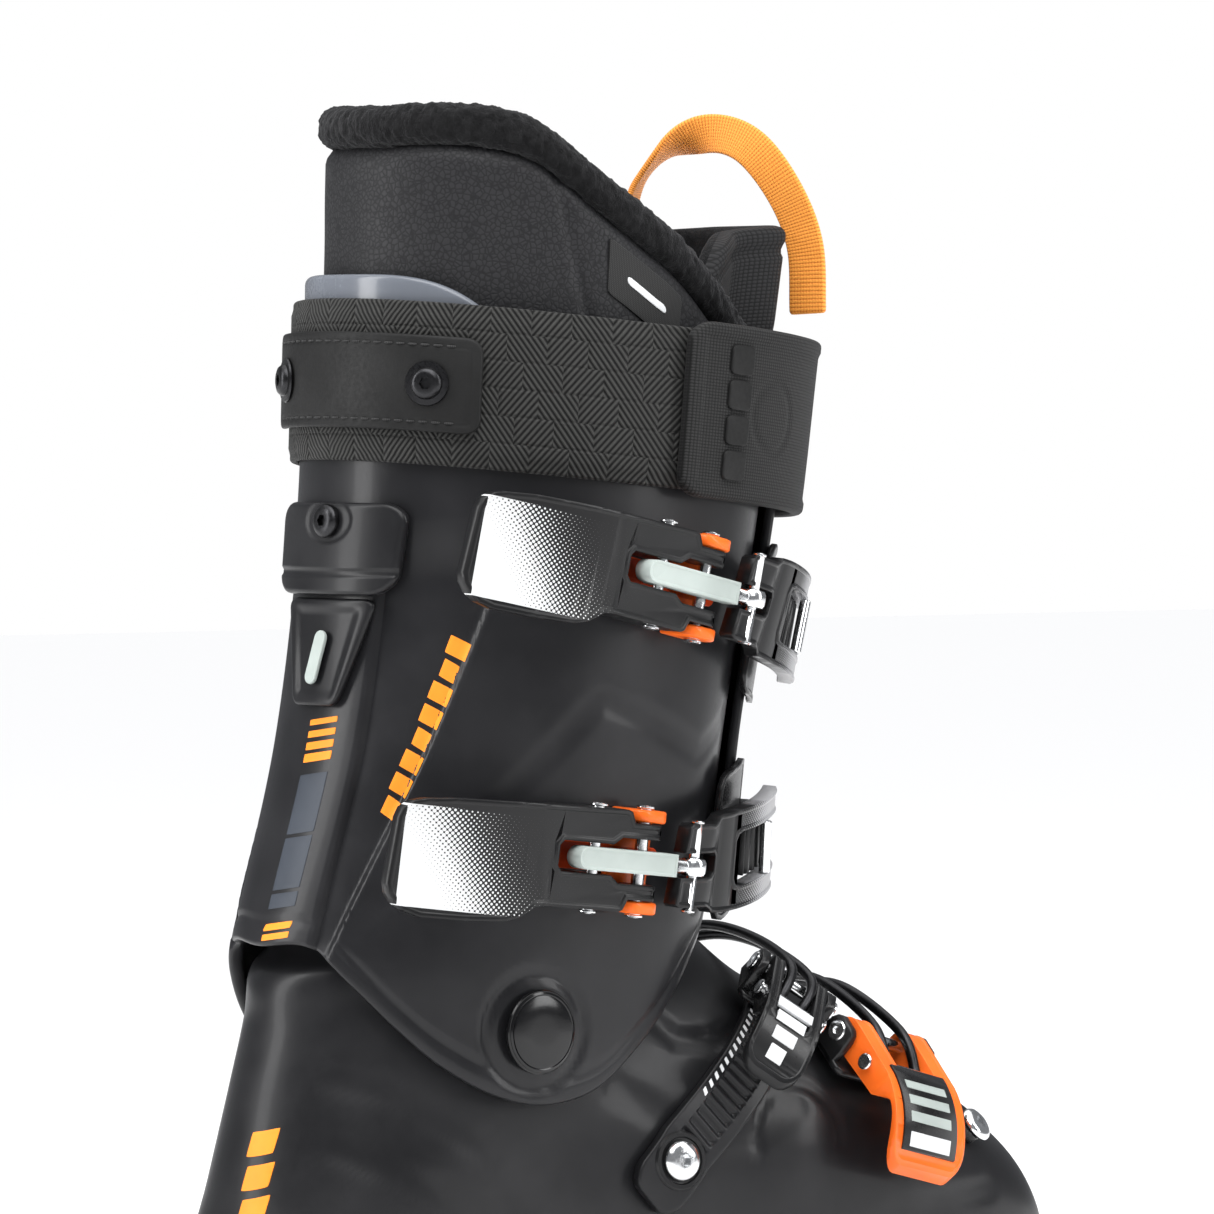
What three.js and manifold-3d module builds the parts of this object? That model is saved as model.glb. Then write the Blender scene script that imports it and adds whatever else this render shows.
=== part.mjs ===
// Alpine ski boot for the right foot, as an assembly: lower shell with its sole pads, hinged
// cuff, liner, four buckles and a power strap. Millimetres, +X to the toe, +Y to the inner
// (medial) side of the foot, +Z up. The origin is the centre of the heel pad on the floor.
import * as THREE from 'three';
import { mergeVertices } from 'three/addons/utils/BufferGeometryUtils.js';
import Module from 'manifold-3d';

const wasm = await Module();
wasm.setup();

// ---- driving dimensions --------------------------------------------------------------
const HEEL_BACK = -44; // rear edge of the heel lug
const SOLE_LENGTH = 306; // heel lug to toe lug
const TOE_FRONT = HEEL_BACK + SOLE_LENGTH;
const SOLE_HALF = 34.5; // half the standard 69 mm sole width
const PAD_THICKNESS = 13;
const TOE_LUG = 19; // height of the toe lug's top face
const HEEL_LUG = 30; // height of the heel lug's top face
const TOE_PAD_BACK = 146;
const HEEL_PAD_FRONT = 36;
const ANKLE = new THREE.Vector3(42, 0, 105); // the cuff's hinge
const PIVOT_RADIUS = 7;
const SHELL_WALL = 5;
const CUFF_WALL = 4;
const LINER_WALL = 9;
const FOOT_LINER_WALL = 6.5;
const BOARD_TOP = 26;
const GAP = 0.35; // between touching pieces
const STRAP_WIDTH = 44;
const STRAP_THICK = 2.6;
const FLAP_STEP = CUFF_WALL + 0.8; // how far the cuff's inner flap sits below the outer one

const DEG = Math.PI / 180;
const v3 = (x, y, z) => new THREE.Vector3(x, y, z);
const lerp = THREE.MathUtils.lerp;
const clamp = THREE.MathUtils.clamp;
const smooth = (x, low, high) => THREE.MathUtils.smoothstep(x, low, high);

// ---- curves through a few stations ---------------------------------------------------
// A cubic through rows of [t, value, value...], with central slopes.
function curveThrough(rows) {
  const slope = (i, k) => {
    const a = rows[Math.max(i - 1, 0)];
    const b = rows[Math.min(i + 1, rows.length - 1)];
    return (b[k] - a[k]) / (b[0] - a[0]);
  };
  return (t, k = 1) => {
    const x = clamp(t, rows[0][0], rows[rows.length - 1][0]);
    let i = 0;
    while (i < rows.length - 2 && x > rows[i + 1][0]) i += 1;
    const step = rows[i + 1][0] - rows[i][0];
    const s = (x - rows[i][0]) / step;
    const [s2, s3] = [s * s, s * s * s];
    return (2 * s3 - 3 * s2 + 1) * rows[i][k] + (s3 - 2 * s2 + s) * step * slope(i, k)
      + (3 * s2 - 2 * s3) * rows[i + 1][k] + (s3 - s2) * step * slope(i + 1, k);
  };
}

// ---- lower shell's surface -----------------------------------------------------------
// Sections fan round the instep, from the toe (0) to the top of the ankle (19):
// station, crest x, crest z, sole x, sole z, half-width, centre y, crest and sole roundness
const shellAt = curveThrough([
  [0, 246, 37, 247, 22, 17, 5, 2.2, 2.2],
  [1, 243, 48, 243, 16, 29, 5, 2.3, 2.4],
  [2, 237, 58.5, 235, 14, 37, 5, 2.3, 2.6],
  [3, 227, 69, 219, 14, 43, 4, 2.3, 2.8],
  [4, 210, 80.5, 194, 14, 47, 2, 2.2, 3],
  [5, 189, 91, 164, 14, 50, 0, 2.1, 3],
  [6, 169, 101, 138, 16, 51, -1, 2.1, 2.8],
  [7, 152, 110, 115, 18, 50.5, -1, 2.1, 2.8],
  [8, 137.8, 117.8, 88, 18, 48.5, 0, 2.1, 2.8],
  [9, 128, 125.6, 50, 16, 45.5, 0, 2.1, 3],
  [10, 121.6, 131.6, 15, 14, 43.1, 0, 2.15, 3.1],
  [11, 119.6, 138.6, -8, 14, 42, 0, 2.15, 3],
  [12, 117.6, 141.8, -25, 18, 41.6, 0, 2.15, 2.8],
  [13, 117, 145, -32, 33, 41, 0, 2.2, 2.5],
  [14, 116, 147, -27, 58, 40.2, 0, 2.2, 2.2],
  [15, 115.5, 148, -20.5, 87, 39.6, 0, 2.2, 2],
  [16, 115, 149, -15.5, 106, 39.2, 0, 2.2, 2],
  [17, 114.5, 150, -13.5, 119, 39, 0, 2.2, 2],
  [18, 114, 150.5, -5, 128, 38.8, 0, 2.2, 2],
  [19, 112, 151, 2, 149, 38.5, 0, 2.2, 2],
]);

// A point of the shell's section at station v: angle 0 on the crest, -90 on the outer side,
// moved in by the three insets (crest, sole, side).
function shellPoint(v, angle, crest = 0, sole = crest, side = crest) {
  const top = v3(shellAt(v, 1), 0, shellAt(v, 2));
  const bottom = v3(shellAt(v, 3), 0, shellAt(v, 4));
  const across = bottom.clone().sub(top).normalize();
  const [c, s] = [Math.cos(angle), Math.sin(angle)];
  const power = 2 / shellAt(v, c > 0 ? 7 : 8);
  const along = Math.sign(c) * Math.abs(c) ** power;
  const aside = Math.sign(s) * Math.abs(s) ** power;
  const point = top.clone().add(bottom).multiplyScalar(0.5);
  point.addScaledVector(across, -along * (top.distanceTo(bottom) / 2 - (c > 0 ? crest : sole)));
  point.y = shellAt(v, 6) + (shellAt(v, 5) - side) * aside;
  return point;
}

function shellNormal(v, angle) {
  const e = 0.02;
  const a = shellPoint(v + e, angle).sub(shellPoint(v - e, angle));
  const b = shellPoint(v, angle + e).sub(shellPoint(v, angle - e));
  return b.cross(a).normalize();
}

// ---- cuff's surface ------------------------------------------------------------------
const cuffRear = curveThrough([[80, -19], [118, -18], [130, -16.4], [184, -1], [243, 7.4],
  [290, 9.5], [336, 9.8], [365, 10]]);
const cuffFront = curveThrough([[80, 124], [118, 130], [133, 133.5], [184, 138], [243, 150],
  [290, 157], [336, 165], [365, 168]]);
const cuffHalf = curveThrough([[80, 47.6], [105, 48.4], [150, 50], [184, 52], [243, 53.2],
  [290, 54], [365, 54]]);
const CUFF_ROUND = 2.12;

// Angle 0 is the rear of the leg, -90 the outer side, 180 the shin; offset is outwards.
function cuffPoint(angle, z, offset = 0) {
  const rear = cuffRear(z);
  const front = cuffFront(z);
  const centre = (rear + front) / 2;
  const [c, s] = [Math.cos(angle), Math.sin(angle)];
  const power = 2 / CUFF_ROUND;
  const [a, b] = [(front - rear) / 2 + offset, cuffHalf(z) + offset];
  return v3(centre - a * Math.sign(c) * Math.abs(c) ** power, b * Math.sign(s) * Math.abs(s) ** power, z);
}

function cuffNormal(angle, z) {
  const e = 0.01;
  const around = cuffPoint(angle + e, z).sub(cuffPoint(angle - e, z));
  const up = cuffPoint(angle, z + 1).sub(cuffPoint(angle, z - 1));
  return up.cross(around).normalize();
}

// ---- geometry helpers ----------------------------------------------------------------
function geometryOf(positions, indices) {
  const geometry = new THREE.BufferGeometry();
  geometry.setAttribute('position', new THREE.Float32BufferAttribute(positions, 3));
  geometry.setIndex(indices);
  return facingOut(geometry);
}

function facingOut(geometry) {
  const p = geometry.getAttribute('position');
  const index = geometry.getIndex().array;
  const [a, b, c] = [v3(), v3(), v3()];
  let volume = 0;
  for (let i = 0; i < index.length; i += 3) {
    a.fromBufferAttribute(p, index[i]);
    b.fromBufferAttribute(p, index[i + 1]);
    c.fromBufferAttribute(p, index[i + 2]);
    volume += a.dot(b.cross(c));
  }
  if (volume < 0) {
    const flipped = Array.from(index);
    for (let i = 0; i < flipped.length; i += 3) {
      [flipped[i], flipped[i + 1]] = [flipped[i + 1], flipped[i]];
    }
    geometry.setIndex(flipped);
  }
  return geometry;
}

// A closed curved sheet: point(u, v, side) with u and v from 0 to 1, side 0 its outer face
// and 1 its inner face.
function sheet(nu, nv, point) {
  const positions = [];
  const indices = [];
  const at = (i, j, side) => (side * (nu + 1) + i) * (nv + 1) + j;
  const quad = (a, b, c, d) => indices.push(a, b, c, a, c, d);
  for (const side of [0, 1]) {
    for (let i = 0; i <= nu; i += 1) {
      for (let j = 0; j <= nv; j += 1) positions.push(...point(i / nu, j / nv, side).toArray());
    }
  }
  for (let i = 0; i < nu; i += 1) {
    for (let j = 0; j < nv; j += 1) {
      quad(at(i, j, 0), at(i + 1, j, 0), at(i + 1, j + 1, 0), at(i, j + 1, 0));
      quad(at(i, j, 1), at(i, j + 1, 1), at(i + 1, j + 1, 1), at(i + 1, j, 1));
    }
    quad(at(i, 0, 0), at(i, 0, 1), at(i + 1, 0, 1), at(i + 1, 0, 0));
    quad(at(i, nv, 0), at(i + 1, nv, 0), at(i + 1, nv, 1), at(i, nv, 1));
  }
  for (let j = 0; j < nv; j += 1) {
    quad(at(0, j, 0), at(0, j + 1, 0), at(0, j + 1, 1), at(0, j, 1));
    quad(at(nu, j, 0), at(nu, j, 1), at(nu, j + 1, 1), at(nu, j + 1, 0));
  }
  return geometryOf(positions, indices);
}

// A closed body through rings of points, with a fan at each end.
function loft(rings) {
  const positions = [];
  const indices = [];
  const n = rings[0].length;
  const middle = (ring) => ring.reduce((sum, p) => sum.add(p), v3()).divideScalar(n);
  rings.forEach((ring) => ring.forEach((p) => positions.push(...p.toArray())));
  positions.push(...middle(rings[0]).toArray(), ...middle(rings[rings.length - 1]).toArray());
  const ends = [rings.length * n, rings.length * n + 1];
  for (let i = 0; i < n; i += 1) {
    const next = (i + 1) % n;
    for (let k = 0; k < rings.length - 1; k += 1) {
      const [a, b, c, d] = [k * n + i, k * n + next, (k + 1) * n + next, (k + 1) * n + i];
      indices.push(a, b, c, a, c, d);
    }
    const last = (rings.length - 1) * n;
    indices.push(ends[0], next, i, ends[1], last + i, last + next);
  }
  return geometryOf(positions, indices);
}

function merged(geometry) {
  const copy = geometry.clone();
  copy.deleteAttribute('normal');
  copy.deleteAttribute('uv');
  return facingOut(mergeVertices(copy, 1e-4));
}

function solid(geometry) {
  const body = merged(geometry);
  return new wasm.Manifold(new wasm.Mesh({
    numProp: 3,
    vertProperties: new Float32Array(body.getAttribute('position').array),
    triVerts: new Uint32Array(body.getIndex().array),
  }));
}

function fromSolid(body) {
  const mesh = body.getMesh();
  return geometryOf(Array.from(mesh.vertProperties), Array.from(mesh.triVerts));
}

const minus = (a, ...cuts) => fromSolid(cuts.reduce((body, cut) => body.subtract(solid(cut)), solid(a)));
const plus = (a, ...more) => fromSolid(more.reduce((body, one) => body.add(solid(one)), solid(a)));

// A flat outline pushed up from z = low to z = high.
function raised(shape, low, high, curveSegments = 4) {
  const options = { depth: high - low, bevelEnabled: false, curveSegments };
  return new THREE.ExtrudeGeometry(shape, options).translate(0, 0, low);
}

function outline(points) {
  return new THREE.Shape(points.map(([x, y]) => new THREE.Vector2(x, y)));
}

function roundedBar(x0, x1, half, radius) {
  const r = Math.min(radius, half, (x1 - x0) / 2);
  const shape = new THREE.Shape();
  shape.moveTo(x0 + r, -half);
  shape.lineTo(x1 - r, -half);
  shape.absarc(x1 - r, -half + r, r, -Math.PI / 2, 0);
  shape.absarc(x1 - r, half - r, r, 0, Math.PI / 2);
  shape.absarc(x0 + r, half - r, r, Math.PI / 2, Math.PI);
  shape.absarc(x0 + r, -half + r, r, Math.PI, 1.5 * Math.PI);
  return shape;
}

// A turned piece along +Z from a profile of [radius, z], closed on the axis.
function turned(profile, segments = 16) {
  const points = [[0, profile[0][1]], ...profile, [0, profile[profile.length - 1][1]]];
  const lathe = new THREE.LatheGeometry(points.map(([r, z]) => new THREE.Vector2(r, z)), segments);
  return lathe.rotateX(Math.PI / 2);
}

const rod = (radius, low, high, segments = 8) => turned([[radius, low], [radius, high]], segments);

// A round wire along a smooth route.
function wire(points, radius, steps, sides = 8) {
  const shape = new THREE.Shape();
  for (let i = 0; i < sides; i += 1) {
    const a = (i / sides) * 2 * Math.PI;
    if (i) shape.lineTo(radius * Math.cos(a), radius * Math.sin(a));
    else shape.moveTo(radius, 0);
  }
  const path = new THREE.CatmullRomCurve3(points, false, 'centripetal');
  return new THREE.ExtrudeGeometry(shape, { steps, extrudePath: path, bevelEnabled: false });
}

// ---- assembly helpers ----------------------------------------------------------------
const boot = new THREE.Group();
function finish(color, roughness, metalness = 0) {
  return new THREE.MeshStandardMaterial({ color, roughness, metalness });
}
const SATIN_BLACK = finish(0x232326, 0.4);
const CUFF_BLACK = finish(0x2b2b2f, 0.4);
const GLOSS_BLACK = finish(0x101012, 0.2);
const RUBBER = finish(0x1b1b1c, 0.7);
const ORANGE = finish(0xf0701f, 0.4);
const WEBBING = finish(0xf08a2c, 0.7);
const SILVER = finish(0xc8cccf, 0.25, 1);
const GREY_METAL = finish(0xa5aca8, 0.35, 1);
const BLACK_METAL = finish(0x1c1c1e, 0.35, 1);
const LINER_BLACK = finish(0x2d2d2f, 0.6);
const FLEECE = finish(0x121214, 0.95);
const STRAP_BLACK = finish(0x1a1a1a, 0.8);
const FOAM_GREY = finish(0x4a4a4d, 0.9);
const COLLAR_GREY = finish(0x6c7078, 0.25);

function add(name, geometry, material, parent = boot) {
  const mesh = new THREE.Mesh(geometry, material.clone());
  mesh.name = name;
  parent.add(mesh);
  return mesh;
}

// A group whose x runs along forward, z along outward, and y along outward x forward.
function frameAt(origin, forward, outward) {
  const z = outward.clone().normalize();
  const x = forward.clone().addScaledVector(z, -forward.dot(z)).normalize();
  const group = new THREE.Group();
  group.position.copy(origin);
  group.quaternion.setFromRotationMatrix(new THREE.Matrix4().makeBasis(x, z.clone().cross(x), z));
  boot.add(group);
  group.updateMatrixWorld();
  return group;
}

// ---- lower shell and sole ------------------------------------------------------------
const SECTION_SIDES = 22;

const SHELL_TOP = 19; // the last station

// Rings at the first station and then at every whole one, so that inner and outer bodies match.
function shellRings(from, crest, soleInset, side, lift) {
  const rings = [];
  const stations = [from];
  for (let v = Math.floor(from) + 1; v <= SHELL_TOP; v += 1) stations.push(v);
  for (const v of stations) {
    const ring = [];
    for (let i = 0; i < SECTION_SIDES; i += 1) {
      ring.push(shellPoint(v, (i / SECTION_SIDES) * 2 * Math.PI, crest, soleInset + lift(v), side));
    }
    rings.push(ring);
  }
  return rings;
}

const noLift = () => 0;
// Under the foot the liner stands on the boot board; behind the heel it doesn't.
const boardLift = (v) => (BOARD_TOP - 14 - SHELL_WALL) * (1 - smooth(v, 11, 13));

function withTopExtended(rings, height) {
  rings.push(rings[rings.length - 1].map((p) => p.clone().setZ(p.z + height)));
  return rings;
}

function soleOutline(from, to, half, nose = 40) {
  const shape = new THREE.Shape();
  if (to > 100) {
    shape.moveTo(from, -half);
    shape.lineTo(to - nose, -half);
    shape.absellipse(to - nose, 0, nose, half, -Math.PI / 2, Math.PI / 2);
    shape.lineTo(from, half);
  } else {
    const heel = 33;
    shape.moveTo(to, half);
    shape.lineTo(from + heel, half);
    shape.absellipse(from + heel, 0, heel, half, Math.PI / 2, 1.5 * Math.PI);
    shape.lineTo(to, -half);
  }
  shape.closePath();
  return shape;
}

const SOLE_SCREWS = [['toe', 198, 1], ['toe', 198, -1], ['heel', -22, 1], ['heel', -22, -1]];
const SCREW_ASIDE = 19;

const pivotBore = () => rod(PIVOT_RADIUS + GAP, -70, 70, 16).rotateX(Math.PI / 2)
  .translate(ANKLE.x, 0, ANKLE.z);

function buildShell() {
  const base = PAD_THICKNESS + GAP;
  const body = loft(shellRings(0, 0, 0, 0, noLift));
  const toe = raised(soleOutline(TOE_PAD_BACK, TOE_FRONT, SOLE_HALF), base, TOE_LUG);
  const heel = raised(soleOutline(HEEL_BACK, HEEL_PAD_FRONT, SOLE_HALF), base, HEEL_LUG);
  const waist = raised(roundedBar(HEEL_PAD_FRONT - 8, TOE_PAD_BACK + 8, 29, 2), base + 1.5, 24);
  // An upright wall round the toe, so that the lug's top face lies clear in front of it.
  const toeWall = raised(soleOutline(TOE_PAD_BACK, TOE_FRONT - 12.5, SOLE_HALF, 15), TOE_LUG - 1, 27);
  const inside = shellRings(1.9, SHELL_WALL, SHELL_WALL, SHELL_WALL, noLift);
  const hollow = loft(withTopExtended(inside, 14));
  const screwHoles = SOLE_SCREWS.map(([, x, side]) => rod(2.3, 10, 18.2, 10)
    .translate(x, side * SCREW_ASIDE, 0));
  const shell = minus(plus(body, toe, heel, waist, toeWall), hollow, pivotBore(), ...screwHoles);
  add('lower_shell', shell, SATIN_BLACK);
}

function buildSole() {
  const pads = {
    toe: raised(soleOutline(TOE_PAD_BACK, TOE_FRONT, SOLE_HALF), 0, PAD_THICKNESS),
    heel: raised(soleOutline(HEEL_BACK, HEEL_PAD_FRONT, SOLE_HALF), 0, PAD_THICKNESS),
  };
  for (const end of ['toe', 'heel']) {
    const holes = SOLE_SCREWS.filter(([which]) => which === end).map(([, x, side]) => turned(
      [[5, -1], [5, 6.3], [2.4, 6.3], [2.4, 14]], 10,
    ).translate(x, side * SCREW_ASIDE, 0));
    add(`${end}_sole`, minus(pads[end], ...holes), RUBBER);
  }
  for (const [end, x, side] of SOLE_SCREWS) {
    const screw = turned([[4.5, 2.5], [4.5, 5.9], [2, 5.9], [2, 17.8]], 8);
    add(`${end}_sole_screw_${side > 0 ? 'medial' : 'lateral'}`, screw, BLACK_METAL)
      .position.set(x, side * SCREW_ASIDE, 0);
  }
}

function slab(from, to, low, high) {
  return raised(roundedBar(from, to, 60, 2), low, high);
}

// The foot's inner pieces all follow the shell's own sections, each a little further in.
function buildFootInside() {
  const clear = SHELL_WALL + 0.6;
  const inner = clear + FOOT_LINER_WALL;
  const footSole = clear + 4.5;
  const linerOuter = (grow) => {
    const inset = clear - grow;
    return loft(shellRings(3, inset, inset, inset, boardLift));
  };
  const linerHollow = (shrink) => {
    const [side, sole] = [inner + shrink, footSole + shrink];
    return loft(withTopExtended(shellRings(3.7 + shrink / 4, side, sole, side, boardLift), 14));
  };
  add('liner_foot', minus(linerOuter(0), linerHollow(0)), LINER_BLACK);

  const cavity = loft(shellRings(2, SHELL_WALL + GAP, SHELL_WALL + GAP, SHELL_WALL + GAP, noLift));
  const boardSpace = solid(cavity).intersect(solid(slab(-22, 230, 14, BOARD_TOP)));
  add('boot_board', fromSolid(boardSpace.subtract(solid(linerOuter(GAP)))), FOAM_GREY);
  const bedSpace = solid(linerHollow(GAP)).intersect(solid(slab(0, 205, 25, 35)));
  add('footbed', fromSolid(bedSpace), FOAM_GREY);
}

// ---- cuff ----------------------------------------------------------------------------
const CUFF_START = -203; // the inner flap's end, past the shin on the inner side
const CUFF_END = 214; // the outer flap's end, past the shin on the outer side
const cuffLow = curveThrough([[0, 128], [20, 128], [34, 118], [46, 107], [58, 96.5], [72, 88],
  [85, 84.7], [97, 88], [108, 98], [122, 113], [140, 129.5], [156, 140.5], [180, 142.2]]);
const cuffTop = (angle) => 268 - 8 * (1 - Math.cos(angle)) / 2;
const foldAngle = (degrees) => Math.abs(((degrees % 360) + 540) % 360 - 180);
// The outer half of the wrap dips under the outer flap.
const flapDip = (degrees) => FLAP_STEP * (1 - smooth(degrees, -150, -112));

function buildCuff() {
  const body = sheet(42, 5, (u, v, side) => {
    const degrees = lerp(CUFF_START, CUFF_END, u);
    const angle = degrees * DEG;
    const z = lerp(cuffLow(foldAngle(degrees)), cuffTop(angle), v);
    const thin = CUFF_WALL * (side ? 1 : 0) * (1 - 0.25 * smooth(degrees, 190, CUFF_END));
    return cuffPoint(angle, z, -flapDip(degrees) - thin);
  });
  add('cuff', minus(body, pivotBore()), CUFF_BLACK);
  add('cuff_collar', sheet(16, 2, (u, v, side) => {
    const degrees = lerp(-54, 54, u);
    const high = lerp(290, 310, 1 - Math.abs(2 * u - 1) ** 4);
    return cuffPoint(degrees * DEG, lerp(cuffTop(0) + 0.4, high, v), -0.4 - 3 * side);
  }), COLLAR_GREY);
}

function buildPivots() {
  for (const [name, side] of [['lateral', -1], ['medial', 1]]) {
    const outer = Math.abs(cuffPoint(-90 * DEG, ANKLE.z).y) + GAP;
    const inner = 35.2;
    const bolt = turned([[PIVOT_RADIUS, inner], [PIVOT_RADIUS, outer], [11.5, outer], [11.5, outer + 1.4],
      [10.5, outer + 2.2]], 16);
    add(`${name}_pivot_bolt`, bolt.rotateX(side < 0 ? Math.PI / 2 : -Math.PI / 2), GLOSS_BLACK)
      .position.set(ANKLE.x, 0, ANKLE.z);
  }
}

// The spring blade down the back of the cuff, its cap, insert and screw.
const BLADE_ANGLE = -4; // a little to the outer side of the spine

function bladeSheet(zLow, zHigh, halfLow, halfHigh, low, high, nu = 6, nv = 4) {
  return sheet(nu, nv, (u, v, side) => {
    const z = lerp(zLow, zHigh, v);
    const half = lerp(halfLow, halfHigh, v);
    const reach = (2 * u - 1) * half;
    const radius = 42;
    return cuffPoint(BLADE_ANGLE * DEG + reach / radius, z, side ? low : high);
  });
}

function onSpine(z, offset) {
  const angle = BLADE_ANGLE * DEG;
  return frameAt(cuffPoint(angle, z, offset), v3(0, 0, 1), cuffNormal(angle, z));
}

function buildBlade() {
  add('spine_blade', bladeSheet(193, 222, 6, 13, GAP, 2.8), SATIN_BLACK);
  add('spine_cap', bladeSheet(223, 248, 17, 18.5, GAP, 4.2, 8, 3), SATIN_BLACK);
  add('spine_insert', raised(roundedBar(-7.5, 7.5, 2.2, 2.2), 0, 1.2, 4), GREY_METAL, onSpine(206, 3.9));
  add('spine_screw', turned([[4.6, 0], [4.6, 0.8], [3.4, 2.2]], 10), BLACK_METAL, onSpine(243, 4.7));
}

// ---- power strap ---------------------------------------------------------------------
const strapMiddle = (angle) => 274 - 7.5 * Math.cos(angle + Math.PI);
const STRAP_OFF = 0.6;
const END_OFF = STRAP_OFF + STRAP_THICK + 0.5;
const END_THICK = 4;

function strapSheet(from, to, steps, low, thick, half = STRAP_WIDTH / 2) {
  return sheet(steps, 2, (u, v, side) => {
    const angle = lerp(from, to, u) * DEG;
    return cuffPoint(angle, strapMiddle(angle) + (2 * v - 1) * half, low + (side ? 0 : thick));
  });
}

function buildStrap() {
  add('power_strap', strapSheet(-150, 168, 36, STRAP_OFF, STRAP_THICK), STRAP_BLACK);
  add('strap_end', strapSheet(169.5, 269, 14, END_OFF, END_THICK, STRAP_WIDTH / 2 + 2), STRAP_BLACK);
  const plateLow = STRAP_OFF + STRAP_THICK + GAP;
  add('strap_plate', strapSheet(-46, 28, 14, plateLow, 2, 13), RUBBER);
  for (const [name, degrees] of [['lateral', -33], ['medial', 17]]) {
    const angle = degrees * DEG;
    const z = strapMiddle(angle);
    const frame = frameAt(cuffPoint(angle, z, plateLow + 2 + GAP), v3(0, 0, 1), cuffNormal(angle, z));
    add(`strap_screw_${name}`, turned([[6, 0], [6, 0.8], [4, 2.6]], 10), BLACK_METAL, frame);
  }
}

// ---- liner, tongue and pull loop -----------------------------------------------------
const LINER_OFF = -CUFF_WALL - FLAP_STEP - 0.6;
const linerOff = (degrees) => lerp(-CUFF_WALL - 1.2, LINER_OFF, smooth(Math.abs(degrees), 75, 110));
const LINER_EDGE = 141; // degrees from the rear, where the liner's edges stop beside the tongue
const linerRim = curveThrough([[0, 352], [52, 350], [78, 331], [100, 314], [122, 297], [141, 287]]);
const shaftFloor = (x) => 154 + Math.max(0, x - ANKLE.x) * 0.2;

function buildLiner() {
  const collar = 7; // the plush roll round the rim
  add('liner_shaft', sheet(24, 6, (u, v, side) => {
    const degrees = lerp(-LINER_EDGE, LINER_EDGE, u);
    const off = linerOff(degrees) - LINER_WALL * side;
    const low = shaftFloor(cuffPoint(degrees * DEG, 160, off).x);
    return cuffPoint(degrees * DEG, lerp(low, linerRim(Math.abs(degrees)) - collar, v), off);
  }), LINER_BLACK);
  add('liner_collar', sheet(24, 2, (u, v, side) => {
    const degrees = lerp(-LINER_EDGE, LINER_EDGE, u);
    const z = linerRim(Math.abs(degrees)) - collar + 0.4 + v * (collar - 1);
    const pinch = v === 1 ? 2.5 : 0;
    return cuffPoint(degrees * DEG, z, linerOff(degrees) + (side ? pinch - LINER_WALL : -pinch));
  }), FLEECE);
}

// How far the tongue's outer face sits inside the cuff's surface.
const tongueOff = (fromShin, z) => lerp(
  LINER_OFF - 0.6 + 5 * smooth(z, 262, 300),
  LINER_OFF - LINER_WALL - 1,
  smooth(fromShin, 20, 35),
);
const TONGUE_WALL = 8;
const TONGUE_REACH = 56;

function buildTongue() {
  add('tongue', sheet(12, 6, (u, v, side) => {
    const fromShin = lerp(-TONGUE_REACH, TONGUE_REACH, u);
    const top = 325 - 16 * Math.abs(2 * u - 1) ** 4;
    const angle = (180 + fromShin) * DEG;
    const z = lerp(shaftFloor(128) + 2, top, v);
    return cuffPoint(angle, z, tongueOff(Math.abs(fromShin), z) - TONGUE_WALL * side);
  }), LINER_BLACK);
}

// A flat webbing arch, from the inner side of the tongue over to its outer front.
const LOOP_ROUTE = [v3(132, 27, 327), v3(134, 24, 338), v3(138, 15, 347), v3(144, 4, 351),
  v3(150, -6, 347), v3(157, -13, 334), v3(161.8, -16, 319), v3(162, -17, 300)];
const LOOP_WIDTH = 11;
const LOOP_THICK = 1.8;

function buildLoop() {
  const path = new THREE.CatmullRomCurve3(LOOP_ROUTE);
  add('pull_loop', sheet(24, 1, (u, v, side) => {
    const centre = path.getPoint(u);
    const along = path.getTangent(u);
    const turn = lerp(-38, 62, smooth(u, 0.1, 0.75)) * DEG;
    const face = v3(-Math.sin(turn + Math.PI), Math.cos(turn), 0);
    const across = along.clone().cross(face).normalize();
    const normal = across.clone().cross(along).normalize();
    return centre.addScaledVector(across, (v - 0.5) * LOOP_WIDTH)
      .addScaledVector(normal, (side - 0.5) * LOOP_THICK);
  }), WEBBING);
}

// ---- cuff buckles --------------------------------------------------------------------
const HINGE_UP = 8; // the lever hinge's height over the surface
const BAIL_BACK = -19; // the bail's pin, behind the hinge
const BAIL_UP = 10.6;
const EYE = 15; // the rod's eye, ahead of the hinge
const ARM_HALF = 13.9; // across the lever's two arms
const NOSE_HALF = 10.4; // across them at the hinge, between the base's ears
const SLOT_HALF = 4.2;
const LEVER_TAIL = -81;
const BAR_HALF = 3.1;
const EAR = 3.4;
const ROD_UP = 13;
const FORK_REACH = 60; // how far ahead of the hinge the fork's path has turned by its whole rise
const BUCKLES = [
  { name: 'upper', angle: -99, z: 225, tilt: 12, rise: 0 },
  { name: 'lower', angle: -94.5, z: 151, tilt: 6, rise: 11 },
];

// Angle round the cuff after walking s mm forward from the start angle at one height.
function angleAfter(start, z, s) {
  const step = s / 24;
  let angle = start;
  for (let i = 0; i < 24; i += 1) {
    const rate = cuffPoint(angle - 0.01, z).distanceTo(cuffPoint(angle + 0.01, z)) / 0.02;
    angle -= step / rate;
  }
  return angle;
}

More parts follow.
